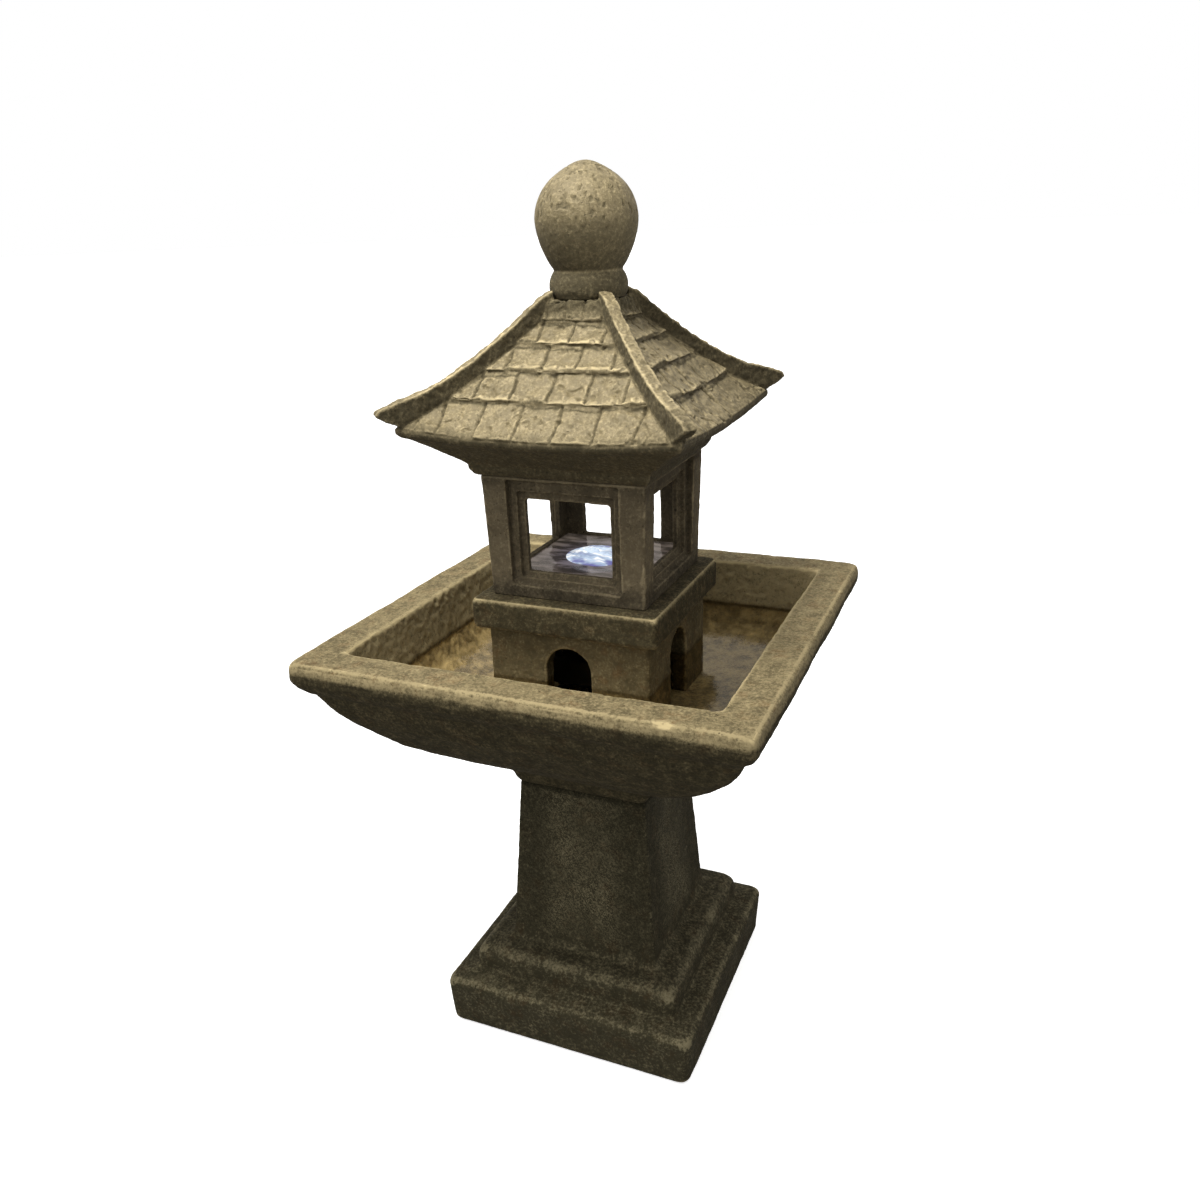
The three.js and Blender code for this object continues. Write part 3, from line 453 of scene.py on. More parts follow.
def tile_relief(points, normals):
    """Rows of hand-cut tiles: joints, lips, tilts and hammered faces, each row a little out of line."""
    side, out, along = roof_place(points)
    row = np.clip(np.searchsorted(ROW_EDGES, out), 1, 5)
    between_ridges = step(out - np.abs(along), RIDGE_REACH, RIDGE_REACH + 2 * MM)
    height, up = points[:, 2], normals[:, 2]
    top_row = step(height - TOP_ROW_FOOT, -6 * MM, 0.0) * step(up, 0.05, 0.2)  # steeper than the others
    tiled = np.maximum(step(up, 0.25, 0.5) * step(height - TILE_FOOT, 0.0, 7 * MM), top_row)
    tiled *= between_ridges
    width = np.where(row == 1, 23.0, 36.5 + 2.2 * row) * MM
    shift = 0.5 * (row % 2) + 0.13 * lattice(np.stack([side, row, 0 * row], axis=1), 3)
    place = along / width + shift + 0.05 * noise(points, 30 * MM, 60)
    column = np.floor(place)
    across = place - column
    tile = np.stack([side, row, column.astype(np.int64)], axis=1)
    joint = np.minimum(across, 1 - across) * width
    low, high = ROW_EDGES[row - 1], ROW_EDGES[row]
    down = (out - low) / (high - low)  # 0 at a row's top, 1 at its lower edge
    groove = np.exp(-((joint / (1.5 * MM)) ** 2)) * step(-down, -0.99, -0.92)
    tilt = 1.7 * lattice(tile, 8) * (across - 0.5) + 0.9 * lattice(tile, 9)
    lip = step(down, 0.62, 0.93)
    # paler patches on the rows' lower lips: partly polish, partly painted highlight where a glint falls
    polish_and_glints = step(down, 0.8, 0.94) * step(noise(points, 42 * MM, 68), -0.35, 0.5)
    polish_and_glints *= 0.6 + 0.4 * lattice(tile, 10)
    hammered = 0.9 * noise(points, 13 * MM, 61) + 0.65 * noise(points, 7 * MM, 62)
    hammered += 0.2 * noise(points, 3.6 * MM, 64) - 1.1 * scattered(points, 8 * MM, 71, 0.3, 0.7)
    rise = (tilt + 1.7 * lip + 1.6 * hammered - 2.1 * groove) * MM * tiled
    edge_row = np.abs(out[:, None] - ROW_EDGES[1:5]).argmin(axis=1) + 1
    above = np.stack([side, edge_row, column.astype(np.int64)], axis=1)
    jog = (1.9 * lattice(above, 12) + 0.9 * noise(points, 8 * MM, 63)) * MM
    past_edge = out - ROW_EDGES[edge_row]
    jog *= (1 - step(np.abs(past_edge), 3 * MM, 9 * MM)) * tiled
    # painted shadow: a dark line just below each row's edge
    shadow_under_lips = np.exp(-(((past_edge - jog - 1.6 * MM) / (1.7 * MM)) ** 2)) * tiled
    ridge = 1 - step(out - np.abs(along), RIDGE_REACH - 2 * MM, RIDGE_REACH + 1 * MM)
    ridge *= step(height - TILE_FOOT, 5 * MM, 35 * MM)
    ragged = fractal(points, 7 * MM, 66, 2) * 1.2 * MM * ridge
    ridge_top = ridge * step(up, 0.35, 0.75)
    # painted shade on faces that look down
    shadowed = step(-up, -0.45, 0.0)
    # painted shade of the finial's ball and collar on the top row, deepest by the collar
    under_collar = 0.55 + 0.4 * step(height - TOP_ROW_FOOT, 0.0, 16 * MM)
    under_collar *= step(height - TOP_ROW_FOOT, -4 * MM, 1 * MM) * (1 - ridge)
    # painted shade on the band under the eave, and darker along the lowest row's edge
    eave = 0.7 * step(TILE_FOOT - height, -23 * MM, -11 * MM) * step(-up, -0.75, -0.3)
    eave = np.maximum(eave, 0.6 * step(out - ROW_EDGES[-1], -13 * MM, -2 * MM))
    # dark in the joints, with the painted shade above and painted shade on the ridges' sides
    dirt_and_shade = [0.95 * groove * tiled, shadow_under_lips, 0.9 * shadowed, 0.55 * (ridge - ridge_top), under_collar, eave]
    # paler lips, glints and ridge tops, partly wear and polish, partly painted highlight; less pale brush on
    # the top row above its lip, with its painted shade
    brushed_and_lit = (0.1 * lip + polish_and_glints - 0.15) * tiled + 0.05 * ridge_top - 0.1
    brushed_and_lit -= 0.5 * top_row * (1 - lip)
    return Relief(
        rise + ragged + 0.5 * rough_skin(points, 67),
        outward(side) * jog[:, None],
        stain_and_shade=np.max(dirt_and_shade, axis=0),
        brushed_and_lit=brushed_and_lit,
        rinsed=0.6 * np.maximum(ridge_top, tiled * (1 - groove) * (1 - top_row)),
    )


# ---- water --------------------------------------------------------------------------------------
def square_ring(half, radius, height):
    """Points round a square with rounded corners."""
    per_corner, per_side = 10, 24
    corner = np.linspace(0, math.pi / 2, per_corner)
    straight = np.linspace(half - radius, radius - half, per_side + 2)[1:-1]
    x = np.concatenate([half - radius + radius * np.cos(corner), straight])
    y = np.concatenate([half - radius + radius * np.sin(corner), np.full(per_side, half)])
    z = np.full(len(x), height)
    quarter_turns = ((1, 0), (0, 1), (-1, 0), (0, -1))
    sides = [np.column_stack([x * cos - y * sin, x * sin + y * cos, z]) for cos, sin in quarter_turns]
    return np.concatenate(sides)


def lofted(name, rings, bottom, top):
    """A closed body through rings of points, with a middle point under the first and over the last."""
    size = len(rings[0])
    points = np.concatenate([*rings, [bottom], [top]])
    last = (len(rings) - 1) * size
    faces = [
        (low + i, low + (i + 1) % size, low + size + (i + 1) % size, low + size + i)
        for low in range(0, last, size)
        for i in range(size)
    ]
    faces += [((i + 1) % size, i, len(points) - 2) for i in range(size)]
    faces += [(last + i, last + (i + 1) % size, len(points) - 1) for i in range(size)]
    mesh = bpy.data.meshes.new(name)
    mesh.from_pydata(points.tolist(), [], faces)
    mesh.shade_smooth()
    return new_object(name, mesh)


def water_body(name, sides, radius, body, ripple, seed, material):
    """Water that fills a square hollow a little into its walls, with a rippled top."""
    level = sides[-1][1]
    rings = [square_ring(half, min(radius, half * 0.9), height) for half, height in sides]
    outer = sides[-1][0]
    for share in np.linspace(1, 0.02, 60)[1:]:
        ring = square_ring(outer * share, radius * share, level)
        ring[:, 2] += ripple * fractal(ring, 24 * MM, seed, 3) * step(1 - share, 0.0, 0.05)
        rings.append(ring)
    water = lofted(name, rings, (0, 0, sides[0][1]), (0, 0, level))
    water.data.materials.append(material)
    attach(water, body)


def build_water():
    """The water in the basin and the pool in the light chamber's pan."""
    bowl = [(150, 461), (166, 461), (184, 462), (202, 470), (220, 488), (229, 508)]
    bowl = [(half * MM, height * MM) for half, height in bowl] + [(230.3 * MM, WATER_LEVEL)]
    water_body("basin_water", bowl, 13 * MM, "basin", 0.25 * MM, 5, WATER)
    pool = [(60 * MM, POOL_FLOOR), (POOL_HALF, POOL_FLOOR), (POOL_HALF, POOL_LEVEL)]
    water_body("pool_water", pool, 2 * MM, "lantern", 0.5 * MM, 9, POOL_WATER)


def build_bubbling_spout():
    """The water that wells up over the lights: a low lumpy mound with ridges drawn round it."""
    radius, height, sides = 41 * MM, 8 * MM, 144
    angles = np.linspace(0, 2 * math.pi, sides, endpoint=False)
    circle = np.stack([np.cos(angles), np.sin(angles)], axis=1)
    wobble = 1 + 0.09 * noise(np.column_stack([circle, np.zeros(sides)]), 0.6, 77)
    foot = POOL_LEVEL - 0.6 * MM
    rings = [np.column_stack([circle * radius, np.full(sides, foot)])]
    for share in np.linspace(1, 0.03, 52):
        flat = circle * (radius * share * wobble)[:, None]
        ring = np.column_stack([flat, np.zeros(sides)])
        turned = (angles + 1.6 * share) * 14 * MM
        drawn = np.column_stack([turned, np.full(sides, 2.2 * share * radius), np.zeros(sides)])
        blend_over = 0.5 - 0.5 * np.cos(angles)
        ridges = noise(drawn, 9 * MM, 78) * blend_over + 0.6 * noise(ring, 12 * MM, 81)
        lumps = 1 - 1.6 * np.abs(ridges) + 0.35 * noise(ring, 5 * MM, 79)
        crown = (1 - share**2) ** 0.7
        ring[:, 2] = POOL_LEVEL + 0.2 * MM + crown * (0.6 * height + 3 * MM * lumps)
        rings.append(ring)
    mound = lofted("bubbling_spout", rings, (0, 0, foot), (0, 0, POOL_LEVEL + 0.9 * height))
    mound.data.materials.append(GLOWING_WATER)
    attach(mound, "lantern")


# ---- materials ----------------------------------------------------------------------------------
class Look:
    """A material being built: short ways to add nodes and join them. Each way gives an output socket or,
    for add, the node."""

    def __init__(self, name):
        self.material = bpy.data.materials.new(name)
        self.material.use_nodes = True
        self.start(self.material.node_tree, "Material")

    def start(self, tree, kind):
        self.tree = tree
        self.tree.nodes.clear()
        self.output = self.tree.nodes.new("ShaderNodeOutput" + kind)

    @classmethod
    def of_tree(cls, tree, kind):
        """The same short ways for a tree that isn't a material's."""
        look = cls.__new__(cls)
        look.material = None
        look.start(tree, kind)
        return look

    def add(self, kind, inputs=None, **settings):
        node = self.tree.nodes.new("ShaderNode" + kind)
        for name, value in settings.items():
            setattr(node, name, value)
        for name, value in (inputs or {}).items():
            self.feed(node.inputs[name], value)
        return node

    def feed(self, socket, value):
        if isinstance(value, bpy.types.NodeSocket):
            self.tree.links.new(value, socket)
        else:
            socket.default_value = value

    def math(self, operation, a, b=0.0, clamp=False):
        node = self.add("Math", {0: a, 1: b}, operation=operation, use_clamp=clamp)
        return node.outputs[0]

    def times(self, a, b, clamp=False):
        return self.math("MULTIPLY", a, b, clamp)

    def plus(self, a, b, clamp=False):
        return self.math("ADD", a, b, clamp)

    def rise(self, value, low, high):
        """0 below low, 1 above high, smooth between."""
        settings = {"Value": value, "From Min": low, "From Max": high}
        return self.add("MapRange", settings, interpolation_type="SMOOTHSTEP").outputs[0]

    def mix(self, share, a, b, blend="MIX"):
        node = self.add("Mix", {0: share, 6: a, 7: b}, data_type="RGBA", blend_type=blend)
        return node.outputs[2]

    def noise(self, place, scale, detail=3.0, roughness=0.55):
        inputs = {"Vector": place, "Scale": scale, "Detail": detail, "Roughness": roughness}
        return self.add("TexNoise", inputs).outputs["Fac"]

    def place(self):
        return self.add("TexCoord").outputs["Object"]

    def strokes(self, place):
        """1 on short fine strokes that lie in four directions, and 0 between them."""
        found = 0.0
        for turn in ((0.5, 0.2, 0.0), (-0.6, -0.5, 1.1), (1.4, 0.4, 0.3), (0.3, 1.2, -0.5)):
            inputs = {"Vector": place, "Rotation": turn, "Scale": (1.0, 1.0, 5.0)}
            along = self.add("Mapping", inputs, vector_type="TEXTURE").outputs[0]
            stroke = self.rise(self.noise(along, 640, 2, 0.5), 0.59, 0.66)
            found = stroke if found == 0.0 else self.math("MAXIMUM", found, stroke)
        return found

    def painted(self, name):
        return self.add("Attribute", attribute_name=name).outputs["Fac"]

    def bump(self, height, distance, strength=1.0, under=None):
        inputs = {"Height": height, "Distance": distance, "Strength": strength}
        if under is not None:
            inputs["Normal"] = under
        return self.add("Bump", inputs).outputs[0]

    def finish(self, shader):
        self.tree.links.new(shader.outputs[0], self.output.inputs["Surface"])
        return self.material


def rgb(red, green, blue):
    return (red, green, blue, 1.0)


def scaled(colour, share):
    return rgb(*(share * channel for channel in colour[:3]))


def stone(
    name, wash_and_shade, body, dry_brush_and_light, waterline=None, rust=0.0, worn=0.3, fibres=0.0, patchy=0.3, sheen=None
):
    """Cast stone: a dark wash in the hollows and as painted shade, a mottled body colour, and a pale dry
    brush on what stands proud and as painted light and highlights. Below the waterline it is wet, and partly
    painted brighter.
    Fibres are the fine strokes that a stiff brush leaves, and sheen is the range of roughness where a sealer
    lies on the stone."""
    look = Look(name)
    place = look.place()
    patches = look.noise(place, 14, 4, 0.6)
    mottle = look.noise(place, 60, 6, 0.68)
    speckle = look.noise(place, 260, 5, 0.75)
    grit = look.noise(place, 950, 3, 0.65)
    wear_and_light, cavity = look.painted("wear_and_light"), look.painted("cavity")
    up, stain_and_shade = look.painted("up"), look.painted("stain_and_shade")
    tone = look.plus(look.times(patches, 0.4), look.times(mottle, 0.6))
    colour = look.mix(look.rise(tone, 0.37, 0.61), look.mix(1 - patchy, wash_and_shade, body), body)
    if rust:
        reddish = look.times(look.rise(look.noise(place, 42, 5, 0.7), 0.5, 0.68), rust)
        colour = look.mix(reddish, colour, rgb(1.22, 0.86, 0.68), "MULTIPLY")
    grain = look.plus(look.times(speckle, 0.7), look.times(mottle, 0.3))
    brushed_and_lit = look.plus(grain, look.times(wear_and_light, worn))
    # a little paler where it faces up: partly dust, partly painted light from above
    brushed_and_lit = look.plus(brushed_and_lit, look.times(look.rise(up, 0.5, 0.95), 0.04))
    pale = look.rise(brushed_and_lit, 0.47, 0.73)
    if fibres:
        strokes = look.times(look.strokes(place), look.painted("flecked"))
        pale = look.math("MAXIMUM", pale, look.times(strokes, fibres))
    colour = look.mix(pale, colour, dry_brush_and_light)
    # paler still where the wear paint is highest: bare stone at chips, and painted glints on the tile lips
    bare_and_glints = look.times(look.rise(wear_and_light, 0.8, 1.0), 0.7)
    colour = look.mix(bare_and_glints, colour, scaled(dry_brush_and_light, 1.6))
    hollows = look.times(look.rise(cavity, 0.05, 0.9), 0.65)
    # the wash in the hollows, and the stain paint, which holds real stains and painted shade
    dirt_and_shade = look.math("MAXIMUM", hollows, look.times(stain_and_shade, 0.9))
    clear_of_dirt_and_shade = look.times(look.rise(grain, 0.35, 0.7), 0.45)
    dirt_and_shade = look.times(dirt_and_shade, look.math("SUBTRACT", 1.0, clear_of_dirt_and_shade))
    colour = look.mix(dirt_and_shade, colour, wash_and_shade)
    pin_holes = look.rise(look.noise(place, 430, 2, 0.5), 0.36, 0.28)
    colour = look.mix(look.times(pin_holes, 0.5), colour, scaled(wash_and_shade, 0.45))
    smoothest, roughest = sheen or (0.6, 0.95)
    roughness = {"Value": speckle, "To Min": smoothest, "To Max": roughest}
    roughness = look.add("MapRange", roughness).outputs[0]
    roughness = look.mix(look.times(dirt_and_shade, 1.4, clamp=True), roughness, rgb(0.95, 0.95, 0.95))
    if waterline is not None:
        height = look.add("SeparateXYZ", {"Vector": place}).outputs["Z"]
        height = look.plus(height, look.times(mottle, 0.006))
        wet = look.rise(height, waterline + 0.009, waterline + 0.001)
        wet = look.times(wet, look.painted("in_reach"))
        sunk = look.rise(height, waterline + 0.001, waterline - 0.003)
        # under the water the stone is painted from a little darker to much brighter than dry; the
        # brightening is painted light
        seen = look.mix(look.rise(tone, 0.42, 0.6), rgb(0.8, 0.74, 0.64), rgb(1.7, 1.6, 1.42))
        soaked = look.mix(sunk, rgb(0.4, 0.36, 0.3), seen)
        colour = look.mix(wet, colour, soaked, "MULTIPLY")
        roughness = look.mix(wet, roughness, rgb(0.3, 0.3, 0.3))
    relief = look.math("SUBTRACT", look.times(mottle, 0.6), look.times(pin_holes, 0.5))
    relief = look.plus(relief, look.times(speckle, 0.7))
    coarse = look.bump(relief, 1.3 * MM)
    fine = look.bump(grit, 0.3 * MM, 0.7, coarse)
    shader = look.add("BsdfPrincipled", {"Base Color": colour, "Roughness": roughness, "Normal": fine})
    shader.inputs["Specular IOR Level"].default_value = 0.45 if sheen else 0.15
    shader.inputs["Specular Tint"].default_value = rgb(1.0, 0.88, 0.66)
    return look.finish(shader)


def moulded(name, colour, roughness=0.45, bump=0.03):
    """Moulded plastic or rubber: a fine spark texture, and faint handling marks in its shine."""
    look = Look(name)
    place = look.place()
    marks = look.noise(place, 60, 5, 0.6)
    pale = rgb(*(min(1.0, channel * 1.25 + 0.004) for channel in colour[:3]))
    inputs = {"Value": marks, "To Min": roughness - 0.09, "To Max": roughness + 0.12}
    surface = {
        "Base Color": look.mix(look.rise(marks, 0.4, 0.75), colour, pale),
        "Roughness": look.add("MapRange", inputs).outputs[0],
        "Normal": look.bump(look.noise(place, 2600, 2, 0.5), bump * MM, 0.6),
    }
    return look.finish(look.add("BsdfPrincipled", surface))


def banded(name, dark, light, axis, bands, roughness):
    """Metal in fine parallel bands across one axis: a stack of laminations or a winding's turns."""
    look = Look(name)
    along = look.add("SeparateXYZ", {"Vector": look.place()}).outputs[axis]
    wave = look.math("SINE", look.times(along, 2 * math.pi * bands))
    wave = look.plus(look.times(wave, 0.5), 0.5)
    surface = {"Base Color": look.mix(wave, dark, light), "Normal": look.bump(wave, 0.15 * MM, 0.8)}
    shader = look.add("BsdfPrincipled", surface)
    shader.inputs["Metallic"].default_value = 1.0
    shader.inputs["Roughness"].default_value = roughness
    return look.finish(shader)


def brushed_steel():
    """Steel rod with fine streaks along it."""
    look = Look("brushed_steel")
    place = look.add("Mapping", {"Vector": look.place(), "Scale": (1.0, 1.0, 0.06)}).outputs[0]
    streaks = look.noise(place, 1800, 3, 0.6)
    surface = {
        "Base Color": look.mix(streaks, rgb(0.42, 0.43, 0.44), rgb(0.62, 0.62, 0.63)),
        "Roughness": look.add("MapRange", {"Value": streaks, "To Min": 0.25, "To Max": 0.5}).outputs[0],
        "Normal": look.bump(streaks, 0.04 * MM, 0.5),
    }
    shader = look.add("BsdfPrincipled", surface)
    shader.inputs["Metallic"].default_value = 1.0
    return look.finish(shader)


def see_through(name, tint, ior, roughness, cloud=0.0, gloss=(1, 1, 1, 1)):
    """A clear body: what is behind it shows, tinted, and it shines more at a glancing angle."""
    look = Look(name)
    place = look.place()
    waves = look.bump(look.noise(place, 110, 4, 0.6), 0.5 * MM, 0.5)
    clear = look.add("BsdfTransparent", {"Color": tint})
    if cloud:
        patches = look.times(look.noise(place, 160, 4, 0.6), 2 * cloud)
        milky = look.add("BsdfDiffuse", {"Color": rgb(0.8, 0.85, 0.86)})
        clear = look.add("MixShader", {0: patches, 1: clear.outputs[0], 2: milky.outputs[0]})
    mirror = look.add("BsdfGlossy", {"Color": gloss, "Roughness": roughness, "Normal": waves})
    share = look.add("Fresnel", {"IOR": ior, "Normal": waves}).outputs[0]
    return look.finish(look.add("MixShader", {0: share, 1: clear.outputs[0], 2: mirror.outputs[0]}))


def lit_water():
    """The pool round the spout: clear, with a veil of light from the lamps below, brighter near them."""
    look = Look("lit_water")
    place = look.place()
    across = look.add("Mapping", {"Vector": place, "Scale": (1.0, 1.0, 0.0)}).outputs[0]
    from_middle = look.add("VectorMath", {0: across}, operation="LENGTH").outputs["Value"]
    drawn_out = look.add("Mapping", {"Vector": place, "Scale": (0.5, 1.6, 1.0)}).outputs[0]
    ripples = look.noise(drawn_out, 55, 4, 0.6)
    waves = look.bump(ripples, 1.0 * MM, 0.6)
    near = look.rise(from_middle, 0.09, 0.03)
    veil = look.plus(look.times(near, 0.2), look.times(ripples, 0.7))
    veil = look.plus(veil, 0.2, clamp=True)
    clear = look.add("BsdfTransparent", {"Color": rgb(0.92, 0.9, 0.88)})
    tint = look.mix(near, rgb(0.215, 0.175, 0.145), rgb(0.21, 0.185, 0.225))
    tint = look.mix(look.rise(ripples, 0.4, 0.6), look.mix(0.8, tint, rgb(0.03, 0.025, 0.022)), tint)
    # the veil is painted light: an emission for the lamps' light in the water and for a pale sheen on its
    # top
    light = look.add("Emission", {"Color": tint, "Strength": 1.0})
    body = look.add("MixShader", {0: veil, 1: clear.outputs[0], 2: light.outputs[0]})
    mirror = look.add("BsdfGlossy", {"Color": rgb(0.95, 0.86, 0.78), "Roughness": 0.05, "Normal": waves})
    share = look.add("Fresnel", {"IOR": 1.33, "Normal": waves}).outputs[0]
    return look.finish(look.add("MixShader", {0: share, 1: body.outputs[0], 2: mirror.outputs[0]}))


def glowing_water():
    """Bubbling water lit from below: white where it is thick with air, pale blue round that, and violet
    towards its edge, with bright streaks drawn round the middle."""
    look = Look("glowing_water")
    place = look.place()
    across = look.add("Mapping", {"Vector": place, "Scale": (1.0, 1.0, 0.0)}).outputs[0]
    from_middle = look.add("VectorMath", {0: across}, operation="LENGTH").outputs["Value"]
    twisted = look.add("Mapping", {"Vector": place, "Rotation": (0.0, 0.0, 0.5), "Scale": (0.6, 1.5, 1.0)})
    swirl = look.noise(twisted.outputs[0], 34, 3, 0.55)
    threads = look.math("ABSOLUTE", look.math("SUBTRACT", look.noise(twisted.outputs[0], 36, 3, 0.6), 0.5))
    core = look.rise(from_middle, 0.046, 0.002)
    foam = look.plus(look.times(core, 0.5), look.rise(swirl, 0.36, 0.68))
    shade = look.mix(look.rise(foam, 0.0, 0.6), rgb(0.16, 0.15, 0.38), rgb(0.4, 0.5, 0.66))
    colour = look.mix(look.rise(foam, 0.45, 1.2), shade, rgb(0.72, 0.84, 1.0))
    streaks = look.times(look.rise(threads, 0.07, 0.015), look.rise(foam, 0.25, 0.8))
    colour = look.mix(streaks, colour, rgb(1.0, 1.0, 1.0))
    # the glow is painted light: an emission for the lamps' light in the bubbling water
    light = look.add("Emission", {"Color": colour, "Strength": 1.1})
    gloss = look.add("BsdfGlossy", {"Roughness": 0.08})
    share = look.add("Fresnel", {"IOR": 1.33}).outputs[0]
    return look.finish(look.add("MixShader", {0: share, 1: light.outputs[0], 2: gloss.outputs[0]}))


def led_board():
    """White solder mask with a fine pattern of copper under it, and chips that shine."""
    look = Look("led_board")
    place = look.place()
    height = look.add("SeparateXYZ", {"Vector": place}).outputs["Z"]
    chip = look.rise(height, LED_BOARD_TOP, LED_BOARD_TOP + 0.3 * MM)
    tracks = look.rise(look.noise(place, 320, 1, 0.3), 0.48, 0.52)
    colour = look.mix(look.times(tracks, 0.25), rgb(0.75, 0.77, 0.72), rgb(0.45, 0.5, 0.4))
    shader = look.add("BsdfPrincipled", {"Base Color": look.mix(chip, colour, rgb(0.9, 0.8, 0.3))})
    shader.inputs["Roughness"].default_value = 0.4
    shader.inputs["Emission Color"].default_value = rgb(0.75, 0.85, 1.0)
    look.feed(shader.inputs["Emission Strength"], look.times(chip, 4.0))
    return look.finish(shader)


DARK_STONE = stone(
    "dark_stone",
    rgb(0.013, 0.0118, 0.0065),
    rgb(0.037, 0.0325, 0.0182),
    rgb(0.185, 0.16, 0.095),
    rust=0.6,
    worn=0.62,
    fibres=1.0,
    patchy=0.2,
)
STONE = stone(
    "weathered_stone",
    rgb(0.02, 0.0175, 0.0098),
    rgb(0.122, 0.097, 0.05),
    rgb(0.268, 0.217, 0.117),
    waterline=WATER_LEVEL,
    rust=0.5,
    patchy=0.4,
)
SHADED_STONE = stone(
    "shaded_stone",
    rgb(0.022, 0.0185, 0.013),
    rgb(0.124, 0.1, 0.062),
    rgb(0.23, 0.188, 0.115),
    worn=0.35,
)
PALE_STONE = stone(
    "pale_stone",
    rgb(0.028, 0.024, 0.014),
    rgb(0.128, 0.102, 0.052),
    rgb(0.28, 0.228, 0.127),
    patchy=0.25,
    sheen=(0.38, 0.62),
)
WATER = see_through("water", rgb(0.93, 0.92, 0.88), 1.33, 0.04, gloss=rgb(0.9, 0.85, 0.75))
POOL_WATER = lit_water()
GLOWING_WATER = glowing_water()
BLACK_PLASTIC = moulded("black_plastic", rgb(0.012, 0.012, 0.013))
RUBBER = moulded("rubber", rgb(0.016, 0.016, 0.016), 0.68, 0.05)
CLEAR_TUBE = see_through("clear_tube", rgb(0.86, 0.9, 0.9), 1.45, 0.12, 0.22)
LED_LENS = see_through("led_lens", rgb(0.9, 0.94, 1.0), 1.45, 0.06, 0.15)

FINISHES = {
    BLACK_PLASTIC: [
        "spout_nozzle",
        "overflow_tube",
        "led_housing",
        "led_lead",
        "led_plug",
        "pump_body",
        "pump_volute",
        "pump_strainer",
    ],
    RUBBER: ["basin_bung", "spout_grommet", "volute_seal", "shaft_bush_rear", "shaft_bush_front"]
    + [f"suction_cup_{i}" for i in range(1, 5)],
    CLEAR_TUBE: ["riser_hose"],
    LED_LENS: ["led_lens"],
    led_board(): ["led_board"],
    brushed_steel(): ["finial_dowel"],
    banded("laminations", rgb(0.1, 0.1, 0.11), rgb(0.45, 0.45, 0.47), "Z", 1400, 0.4): ["motor_core"],
    banded("winding", rgb(0.25, 0.09, 0.03), rgb(0.75, 0.33, 0.14), "Y", 1600, 0.3): ["motor_coil"],
    moulded("potting_resin", rgb(0.02, 0.018, 0.016), 0.25, 0.1): ["potting_resin"],
    moulded("ferrite", rgb(0.045, 0.045, 0.048), 0.6, 0.08): ["rotor_magnet"],
    moulded("white_plastic", rgb(0.74, 0.74, 0.71), 0.4): ["impeller"],
    moulded("ceramic", rgb(0.82, 0.8, 0.75), 0.22, 0.01): ["rotor_shaft"],
    moulded("blue_plastic", rgb(0.03, 0.13, 0.3), 0.4): ["flow_dial"],
}


def finish_small_pieces():
    """The small pieces keep the frame's meshes and get their own materials."""
    for material, names in FINISHES.items():
        for name in names:
            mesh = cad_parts[name].data
            mesh.materials.clear()
            mesh.materials.append(material)


def build_stone():
    """The six castings, each kept true where another one rests on it."""
    casting("pedestal", "pedestal", DARK_STONE, 2.2 * MM, pedestal_relief, (0, PEDESTAL_TOP))
    casting("basin", "basin", STONE, 2.3 * MM, basin_relief, (PEDESTAL_TOP, BASIN_FLOOR))
    casting("pump_cover", "lantern", STONE, 1.7 * MM, cover_relief, (BASIN_FLOOR, SLAB_TOP))
    seats = (SLAB_TOP, CHAMBER_TOP, PAN_FLOOR)
    casting("light_chamber", "lantern", SHADED_STONE, 1.5 * MM, chamber_relief, seats)
    casting("roof", "roof", PALE_STONE, 1.2 * MM, tile_relief, (CHAMBER_TOP,))
    casting("finial", "roof", PALE_STONE, 1.2 * MM, finial_relief, (FINIAL_SEAT,), smooth_ball)


# ---- studio -------------------------------------------------------------------------------------
def build_camera():
    """A camera at the photograph's angle."""
    azimuth, elevation = math.radians(CAMERA_AZIMUTH), math.radians(CAMERA_ELEVATION)
    back = Vector(
        (
            math.sin(azimuth) * math.cos(elevation),
            -math.cos(azimuth) * math.cos(elevation),
            math.sin(elevation),
        )
    )
    camera = new_object("camera", bpy.data.cameras.new("camera"))
    camera.data.lens = LENS
    camera.data.sensor_width = SENSOR_WIDTH
    turn = back.to_track_quat("Z", "Y").to_matrix() @ Matrix.Rotation(math.radians(CAMERA_ROLL), 3, "Z")
    camera.matrix_world = Matrix.Translation(CAMERA_TARGET + back * CAMERA_DISTANCE) @ turn.to_4x4()
    bpy.context.scene.camera = camera


def build_light(name, kind, energy, place, target, **settings):
    """A warm white light at a place, turned to its target."""
    light = new_object(name, bpy.data.lights.new(name, kind))
    light.data.energy = energy
    light.data.color = (1.0, 0.985, 0.95)
    for setting, value in settings.items():
        setattr(light.data, setting, value)
    light.location = place
    light.rotation_mode = "QUATERNION"
    light.rotation_quaternion = (light.location - Vector(target)).to_track_quat("Z", "Y")


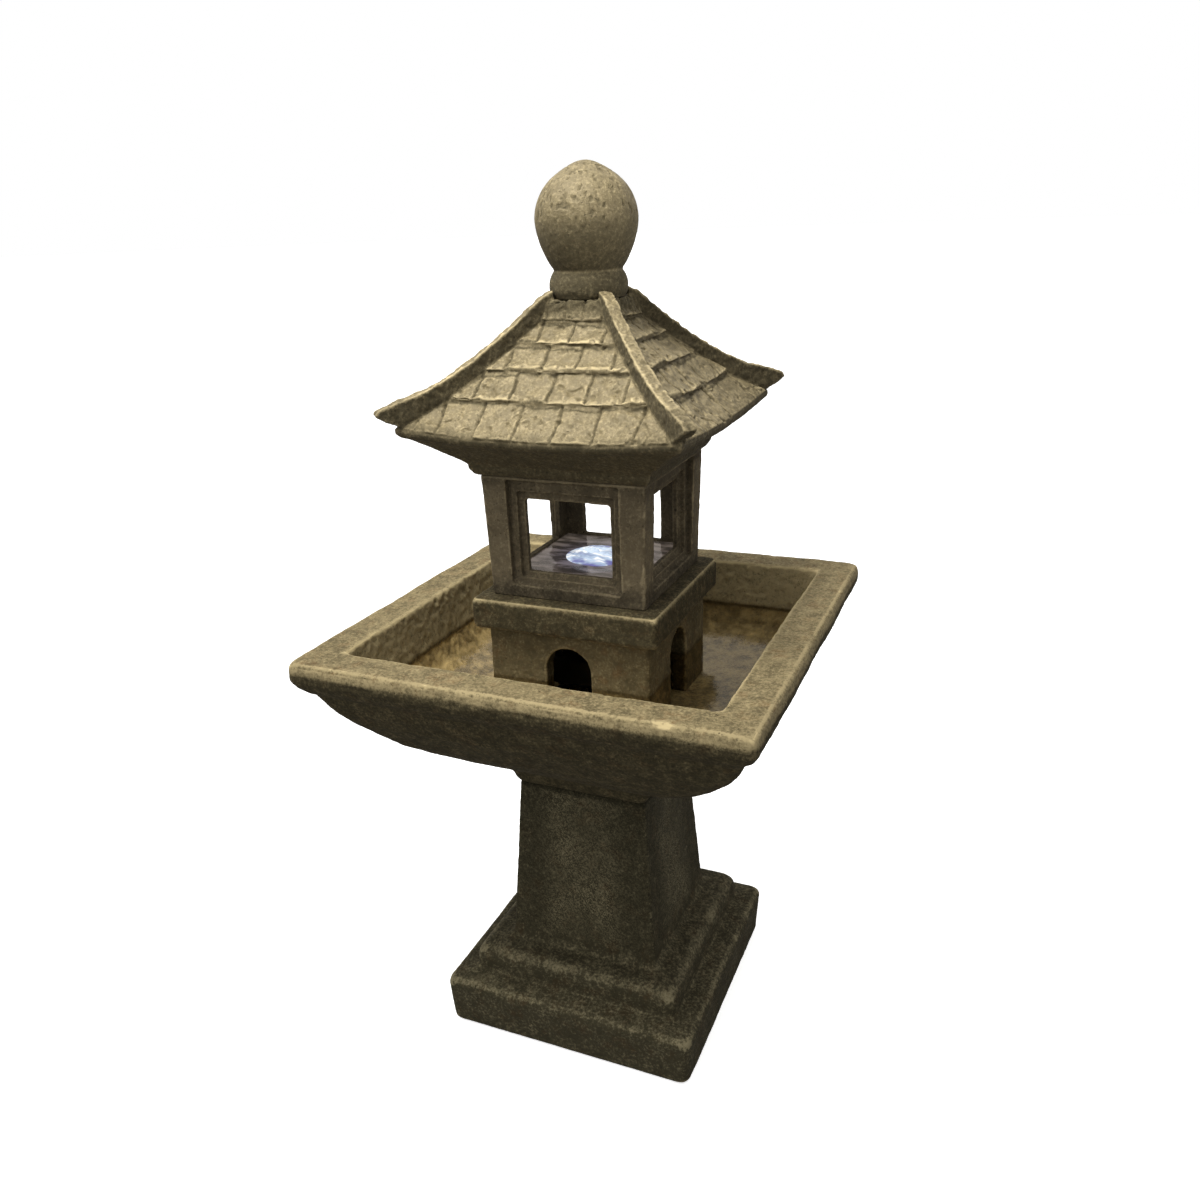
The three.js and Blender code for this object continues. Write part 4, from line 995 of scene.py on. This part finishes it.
def build_studio():
    """A soft key from the front left and above, a narrow light on the ball's edge and a weak fill."""
    spot = {"shadow_soft_size": 0.36, "spot_size": math.radians(44), "spot_blend": 0.7}
    build_light("key", "SPOT", 225, (-0.32, -0.62, 2.4), (0.0, 0.0, 0.7), **spot)
    rim = {"spot_size": math.radians(9), "spot_blend": 0.8}
    build_light("edge", "SPOT", 55, (1.6, -0.5, 1.3), (0.02, 0.0, 1.06), **rim)
    build_light("fill", "AREA", 7, (-0.3, -2.4, 0.9), (0.0, 0.0, 0.5), shape="DISK", size=1.0)
    build_sky()
    build_floor()
    bpy.context.scene.view_settings.view_transform = "Standard"


def build_sky():
    """A white studio: pure white to look at, and as a light bright overhead, dim at the horizon and
    dimmer still on the right."""
    world = bpy.data.worlds.new("studio")
    bpy.context.scene.world = world
    world.use_nodes = True
    look = Look.of_tree(world.node_tree, "World")
    towards = look.add("SeparateXYZ", {"Vector": look.add("TexCoord").outputs["Generated"]}).outputs
    overhead = look.mix(look.rise(towards["Z"], 0.0, 0.9), rgb(0.5, 0.5, 0.51), rgb(1.2, 1.18, 1.15))
    to_the_right = look.rise(towards["X"], 0.0, 0.85)
    overhead = look.mix(to_the_right, overhead, rgb(0.75, 0.75, 0.75), "MULTIPLY")
    light = look.add("Background", {"Color": overhead, "Strength": 1.0}).outputs[0]
    white = look.add("Background", {"Color": rgb(1.0, 1.0, 1.0), "Strength": 1.0}).outputs[0]
    seen = look.add("LightPath").outputs["Is Camera Ray"]
    look.finish(look.add("MixShader", {0: seen, 1: light, 2: white}))


def build_floor():
    """A plain pale floor that runs out to the horizon and throws little light back up."""
    mesh = bpy.data.meshes.new("floor")
    sides = 96
    angles = np.linspace(0, 2 * math.pi, sides, endpoint=False)
    circle = [(FLOOR_RADIUS * math.cos(angle), FLOOR_RADIUS * math.sin(angle), 0.0) for angle in angles]
    mesh.from_pydata(circle, [], [list(range(sides))])
    look = Look("pale_floor")
    shade = look.mix(look.noise(look.place(), 3.0), rgb(0.97, 0.97, 0.97), rgb(0.99, 0.99, 0.99))
    seen = look.add("LightPath").outputs["Is Camera Ray"]
    shader = look.add("BsdfPrincipled", {"Base Color": look.mix(seen, rgb(0.3, 0.3, 0.3), shade)})
    shader.inputs["Roughness"].default_value = 0.9
    glow = look.add("Emission", {"Color": rgb(1.0, 1.0, 1.0), "Strength": look.times(seen, 0.6)})
    mesh.materials.append(look.finish(look.add("AddShader", {0: shader.outputs[0], 1: glow.outputs[0]})))
    new_object("floor", mesh)


build_camera()
build_studio()
build_stone()
build_water()
build_bubbling_spout()
finish_small_pieces()
